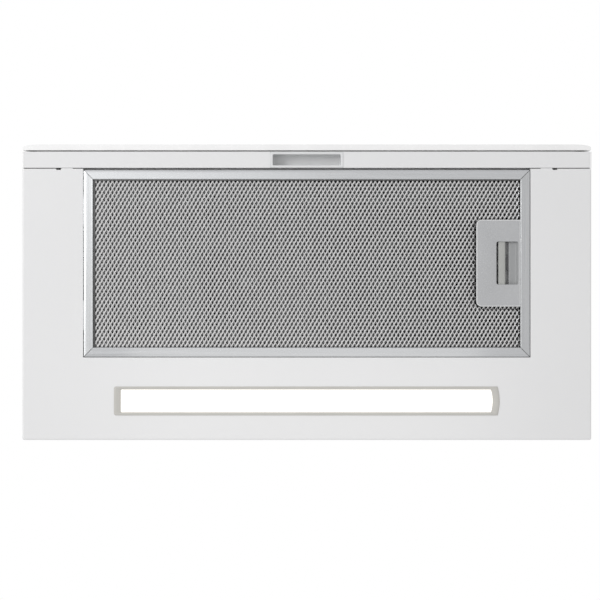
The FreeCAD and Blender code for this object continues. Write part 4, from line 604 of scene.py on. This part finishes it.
def lamp():
    """Bezel with a soft face, and in it the lens: a dimmer rolled rim round the lit field."""
    bow, lens_bow = 2.2 * MM, 1.76 * MM
    gap, rim = Vector((0.1 * MM, 0.1 * MM, 0)), Vector((1.0 * MM, 1.0 * MM, 0))
    low, top = bezel_low.z, bezel_high.z
    flange, wall = low + 0.8 * MM, 0.62
    outer = bar_outline(bezel_low, bezel_high, bow, 2.2 * MM)
    inner = bar_outline(lens_low - gap, lens_high + gap, lens_bow, 0.8 * MM)
    section = ((0.0, 0.5), (0.06, 0.22), (0.16, 0.06), (0.28, 0), (0.42, 0.04), (0.75, 0.45), (1.0, 1.0))
    levels = [(0.0, flange)] + [(share, low + up * MM) for share, up in section]
    levels += [(1.0, top), (wall, top), (wall, flange)]
    ringed_plate("lamp_bezel_moulding", outer, inner, levels, "bezel_grey", None, ("lamp_bezel",))
    whole = bar_outline(lens_low, lens_high, lens_bow, 0.7 * MM)
    field = bar_outline(lens_low + rim, lens_high - rim, lens_bow, 0.7 * MM)
    face, back = low + 0.62 * MM, lens_high.z
    levels = [(0.0, face + 0.5 * MM), (0.35, face + 0.12 * MM), (1.0, face), (1.0, back), (0.0, back)]
    ringed_plate("lamp_lens_rim", whole, field, levels, "lamp_diffuser", lens_rim, ("lamp_lens",))
    prism("lamp_lens_diffuser", field, face, back, "hood", "lamp_diffuser")


lamp()


# ---------------------------------------------------------------- filter latch

bolt_low, bolt_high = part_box("latch_bolt")
RECESS_WIDE = 23.4 * MM
RECESS_HALF = 22.5 * MM
recess_right = plate_high.x - 1.8 * MM
recess_mid = plate_mid - 0.1 * MM
recess_low = (recess_right - RECESS_WIDE, recess_mid - RECESS_HALF)
recess_high = (recess_right, recess_mid + RECESS_HALF)


def latch_face():
    """Face plate: a soft edge in a lighter grey, a painted highlight, a flat field inside it and a rounded
    lip into the recess.
    """
    low, top = plate_low.z, plate_low.z + 1.1 * MM
    bead, hole_radii = 0.95 * MM, (2 * MM,) * 4
    left_radius, right_radius = 5.5 * MM, 0.1 * MM
    plate_radii = (left_radius, right_radius, right_radius, left_radius)

    def outer(inset):
        return round_rect(plate_low, plate_high, plate_radii, inset)

    def hole(outset):
        return round_rect(recess_low, recess_high, hole_radii, -outset)

    roll = ((0.0, 0.75), (0.1, 0.45), (0.35, 0.18), (0.65, 0.04))
    edge = [(outer(bead), top), (outer(0), top)]
    edge += [(outer(inset * MM), low + up * MM) for inset, up in roll]
    edge += [(outer(bead), low + 0.06 * MM)]
    # The soft edge wears the lighter grey: painted highlight.
    loft("latch_plate_highlight_rim", edge, "filter", "latch_grey", latch_rim_highlight, capped=False)
    field = [(outer(bead), top), (outer(bead), low + 0.16 * MM), (outer(1.1 * MM), low + 0.03 * MM),
             (outer(1.3 * MM), low)]
    lip = [(hole(0.5 * MM), low), (hole(0.15 * MM), low + 0.12 * MM), (hole(0), low + 0.4 * MM),
           (hole(0), top)]
    loft("latch_face_plate", field + lip, "filter", "latch_grey", replaces=("latch_plate",), capped=False)


def latch_cup():
    """The cup behind the face plate, and the sloped floor in it that leads a finger to the bar, painted
    darker than the plate as the shade deep in the recess.
    """
    wide, half, wall, soft = 38 * MM, 32 * MM, 1.2 * MM, 0.8 * MM
    radii = (3 * MM,) * 4
    right = plate_high.x - 0.4 * MM
    low, high = (right - wide, plate_mid - half), (right, plate_mid + half)
    mouth, back = plate_low.z + 1.1 * MM, plate_high.z
    shell = [(round_rect(low, high, radii, wall), back - wall), (round_rect(low, high, radii, wall), mouth),
             (round_rect(low, high, radii), mouth), (round_rect(low, high, radii), back - soft),
             (round_rect(low, high, radii, soft), back)]
    loft("latch_cup", shell, "filter", "latch_grey")
    floor_past = 3.9 * MM
    slope = ((0.3, 0.25), (-0.4, 0.5), (-1.0, 1.1), (-1.6, 2.1), (-2.2, 3.0), (-3.2, 3.5), (-6.5, 3.9),
             (-9.4, 4.35), (-9.9, 4.7), (-9.7, 5.1), (-9.2, 5.1), (-3.2, 4.4), (-1.6, 3.6), (0.3, 1.7))
    section = [(recess_right + x * MM, plate_low.z + up * MM) for x, up in slope]
    bar_along_y("latch_floor", section, recess_low[1] - floor_past, recess_high[1] + floor_past,
                "filter", "latch_grey", latch_floor_shade)


def latch_slider():
    """The finger bar with its rounded edges, and the dark blade that reaches past the frame."""
    left, right = bolt_low.x, bolt_low.x + 7.6 * MM
    face, top = bolt_low.z, bolt_high.z
    left_edge = ((0, 0.6), (0.2, 0.2), (0.7, 0))
    right_edge = ((1.9, 0), (0.9, 0.15), (0.3, 0.6), (0, 1.4))
    section = [(left, top)] + [(left + x * MM, face + up * MM) for x, up in left_edge]
    section += [(right - x * MM, face + up * MM) for x, up in right_edge] + [(right, top)]
    bar_along_y("latch_finger_bar", section, bolt_low.y, bolt_high.y, "latch", "latch_grey", latch_bar,
                ("latch_bolt",))
    half, thick, overlap, tip, root = 7 * MM, 1.5 * MM, 1 * MM, 2 * MM, 0.2 * MM
    mid = (bolt_low.y + bolt_high.y) / 2
    outline = round_rect((right - overlap, mid - half), (bolt_high.x, mid + half), (root, tip, tip, root))
    prism("latch_blade", outline, top - thick, top, "latch", "latch_grey", latch_dark, bevel=0.3 * MM)


def spring():
    """The latch spring: a round wire wound in a coil with closed ends."""
    low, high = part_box("latch_spring")
    middle = (low + high) / 2
    wire, crowding = 0.35 * MM, 0.55
    radius = (high.y - low.y) / 2 - wire
    whole = high.x - low.x
    length = whole - 2 * wire
    turns, steps, sides = 8, 24, 10
    verts = []
    for i in range(turns * steps + 1):
        t = i / (turns * steps)
        turn = 2 * math.pi * turns * t
        along = low.x + wire + length * (t - crowding * math.sin(2 * math.pi * t) / (2 * math.pi))
        for k in range(sides):
            around = 2 * math.pi * k / sides
            out = radius + wire * math.cos(around)
            verts.append((along + wire * math.sin(around), middle.y + out * math.cos(turn),
                          middle.z + out * math.sin(turn)))
    faces = ring_faces(sides, turns * steps + 1)
    faces += [list(range(sides)), list(range(len(verts) - sides, len(verts)))]
    coil = piece("latch_spring_coil", verts, faces, "filter", "steel", replaces=("latch_spring",))
    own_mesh(coil)


latch_face()
latch_cup()
latch_slider()
spring()


# ---------------------------------------------------------------- finger grip

def grip():
    """Flange with a soft rim round a deep finger recess, closed behind."""
    grip_low, grip_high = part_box("grip_insert")
    low, high = grip_low.z, grip_high.z
    flange_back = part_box("canopy_shell")[0].z + 0.8 * MM
    wall, soft, corner, rim = 0.9 * MM, 1.5 * MM, 1.0 * MM, 2.1 * MM
    recess_x = 35.7 * MM
    recess_y = (grip_high.y - grip_low.y) / 2 - rim
    mid_y = (grip_low.y + grip_high.y) / 2
    shoulder = high - wall - soft

    def flange(inset):
        return round_rect(grip_low, grip_high, (corner,) * 4, inset)

    def recess(outset):
        return round_rect((-recess_x, mid_y - recess_y), (recess_x, mid_y + recess_y), (soft,) * 4, -outset)

    loops = [(recess(wall), high), (recess(wall), flange_back), (flange(0), flange_back),
             (flange(0), low + 0.25 * MM), (flange(0.08 * MM), low + 0.08 * MM), (flange(0.25 * MM), low),
             (recess(0.45 * MM), low), (recess(0.12 * MM), low + 0.12 * MM), (recess(0), low + 0.45 * MM),
             (recess(0), shoulder)]
    loops += [(recess(x - soft), shoulder + z) for x, z in arc((0, 0), soft, 18, 90, 4)]
    loft("grip_moulding", loops, "visor", "grip_grey", replaces=("grip_insert",))


grip()


# ---------------------------------------------------------------- blower box

box_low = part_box("blower_box")[0]
lid_low, lid_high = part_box("blower_lid")
collar_low, collar_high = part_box("outlet_collar")
SKIRT = 1.1 * MM
SHEET = 0.8 * MM
SEAM_LEG = 14 * MM
wall_x = lid_high.x - SKIRT
wall_y = lid_high.y - SKIRT


def corner_seam(name, sx, sy):
    """A folded strip round an upright corner of the box, under the lid's skirt."""
    cx, cy = sx * wall_x, sy * wall_y
    fold, foot_gap, lid_gap = 0.4 * MM, 1.2 * MM, 0.6 * MM
    outline = [(cx, cy), (cx - sx * SEAM_LEG, cy), (cx - sx * SEAM_LEG, cy + sy * SHEET)]
    outline += [(cx + sx * (x - fold), cy + sy * (y - fold)) for x, y in arc((0, 0), fold + SHEET, 90, 0, 6)]
    outline += [(cx + sx * SHEET, cy - sy * SEAM_LEG), (cx, cy - sy * SEAM_LEG)]
    prism(name, outline, box_low.z + foot_gap, lid_low.z - lid_gap, "hood", "zinc", bevel=0.2 * MM)


def box_rivets():
    """Shallow domed rivet heads, four up each leg of the corner seams."""
    radius, rise, sides = 2.4 * MM, 1.1 * MM, 16
    first, last, rows = box_low.z + 20 * MM, lid_low.z - 16 * MM, 4
    profile = ((1.0, 0.0), (1.0, 0.3), (0.86, 0.66), (0.6, 0.9), (0.3, 0.99))
    places = []
    for sx in (-1, 1):
        for sy in (-1, 1):
            for row in range(rows):
                z = first + (last - first) * row / (rows - 1)
                side_x, side_y = sx * (wall_x + SHEET), sy * (wall_y + SHEET)
                mid_x, mid_y = sx * (wall_x - SEAM_LEG / 2), sy * (wall_y - SEAM_LEG / 2)
                places.append((Vector((mid_x, side_y, z)), Vector((0, sy, 0))))
                places.append((Vector((side_x, mid_y, z)), Vector((sx, 0, 0))))
    verts, faces = [], []
    for point, normal in places:
        across = normal.orthogonal().normalized()
        along = normal.cross(across)
        start = len(verts)
        for share, up in profile:
            for k in range(sides):
                turn = 2 * math.pi * k / sides
                out = across * math.cos(turn) + along * math.sin(turn)
                verts.append(point + out * radius * share + normal * rise * up)
        rim = len(verts) - sides
        verts.append(point + normal * rise)
        faces += [[start + i for i in face] for face in ring_faces(sides, len(profile))]
        faces += [(rim + k, rim + (k + 1) % sides, rim + sides) for k in range(sides)]
        faces.append([start + k for k in range(sides)])
    piece("blower_box_rivets", verts, faces, "hood", "steel")


def lid_bead(name, low, high):
    """A pressed bead that stiffens one field of the lid."""
    radii = (14 * MM,) * 4
    section = ((0, 0), (0.8, 0.5), (1.7, 1.4), (2.7, 1.8), (4.3, 1.8), (5.3, 1.4), (6.2, 0.5), (7.0, 0))
    loops = [(round_rect(low, high, radii, inset * MM), lid_high.z + up * MM) for inset, up in section]
    loft(name, loops, "hood", "zinc", capped=False)


def lid_beads():
    """One bead on each side of the outlet."""
    margin = 20 * MM
    near, far = lid_low.y + margin, lid_high.y - margin
    lid_bead("lid_bead_left", (lid_low.x + margin, near), (collar_low.x - margin, far))
    lid_bead("lid_bead_right", (collar_high.x + margin, near), (lid_high.x - margin, far))


for number, (sx, sy) in enumerate(((-1, -1), (1, -1), (1, 1), (-1, 1))):
    corner_seam(f"blower_box_seam_{number}", sx, sy)
box_rivets()
lid_beads()


# ---------------------------------------------------------------- camera, floor and light

SENSOR = 36
VIEW_CENTRE = Vector((-7.1 * MM, -4.7 * MM, cad_bounds[0][2]))
VIEW_DISTANCE = 1.3
VIEW_WIDTH = 629.3 * MM
FLOOR_HALF = 6.0
FLOOR_Z = -2.4
# Name, place, target, width, depth, watts and colour.
LIGHTS = (
    ("key", (-2.0, -0.75, -2.15), (0, 0, 0), 1.3, 1.3, 37, (1, 1, 1)),
    ("card", (-0.55, -0.5, -1.75), (0, 0, 0), 0.9, 0.9, 1.2, (1, 1, 1)),
    ("lamp_glow", (0, (bezel_low.y + bezel_high.y) / 2, bezel_low.z - 0.11), (0, 0.1013, 0),
     0.40, 0.1, 0.03, (1, 0.98, 0.94)),
)


def make_camera():
    """Straight up at the underside, with the front of the hood at the top of the picture."""
    camera = bpy.data.cameras.new("camera")
    camera.sensor_width = SENSOR
    camera.lens = SENSOR * VIEW_DISTANCE / VIEW_WIDTH
    thing = bpy.data.objects.new("camera", camera)
    thing.location = VIEW_CENTRE - Vector((0, 0, VIEW_DISTANCE))
    thing.rotation_euler = (math.pi, 0, 0)
    bpy.context.scene.collection.objects.link(thing)
    bpy.context.scene.camera = thing


def make_floor():
    """A plain pale floor, well below the camera."""
    square = [(x * FLOOR_HALF, y * FLOOR_HALF, FLOOR_Z) for x, y in ((-1, -1), (1, -1), (1, 1), (-1, 1))]
    mesh = bpy.data.meshes.new("floor")
    mesh.from_pydata(square, [], [(0, 1, 2, 3)])
    s = Shader("floor_paint", (0.75, 0.75, 0.75), rough=0.8)
    s.colour(s.noise(2, detail=2), (0.74, 0.74, 0.74), (0.76, 0.76, 0.76))
    mesh.materials.append(s.material)
    floor = bpy.data.objects.new("floor", mesh)
    bpy.context.scene.collection.objects.link(floor)


def make_lights():
    """White surroundings, a broad soft key and a faint card, both from below at the left front,
    and the lamp's own glow on the panel round it."""
    world = bpy.data.worlds.new("studio")
    world.use_nodes = True
    background = world.node_tree.nodes["Background"]
    background.inputs["Color"].default_value = (1, 1, 1, 1)
    background.inputs["Strength"].default_value = 1.0
    bpy.context.scene.world = world
    for name, place, target, wide, deep, watts, colour in LIGHTS:
        data = bpy.data.lights.new(name, "AREA")
        data.shape = "RECTANGLE"
        data.size, data.size_y = wide, deep
        data.energy = watts
        data.color = colour
        thing = bpy.data.objects.new(name, data)
        thing.location = place
        aim = Vector(target) - Vector(place)
        thing.rotation_euler = aim.to_track_quat("-Z", "Y").to_euler()
        bpy.context.scene.collection.objects.link(thing)


make_camera()
make_floor()
make_lights()
bpy.context.scene.view_settings.view_transform = "Standard"
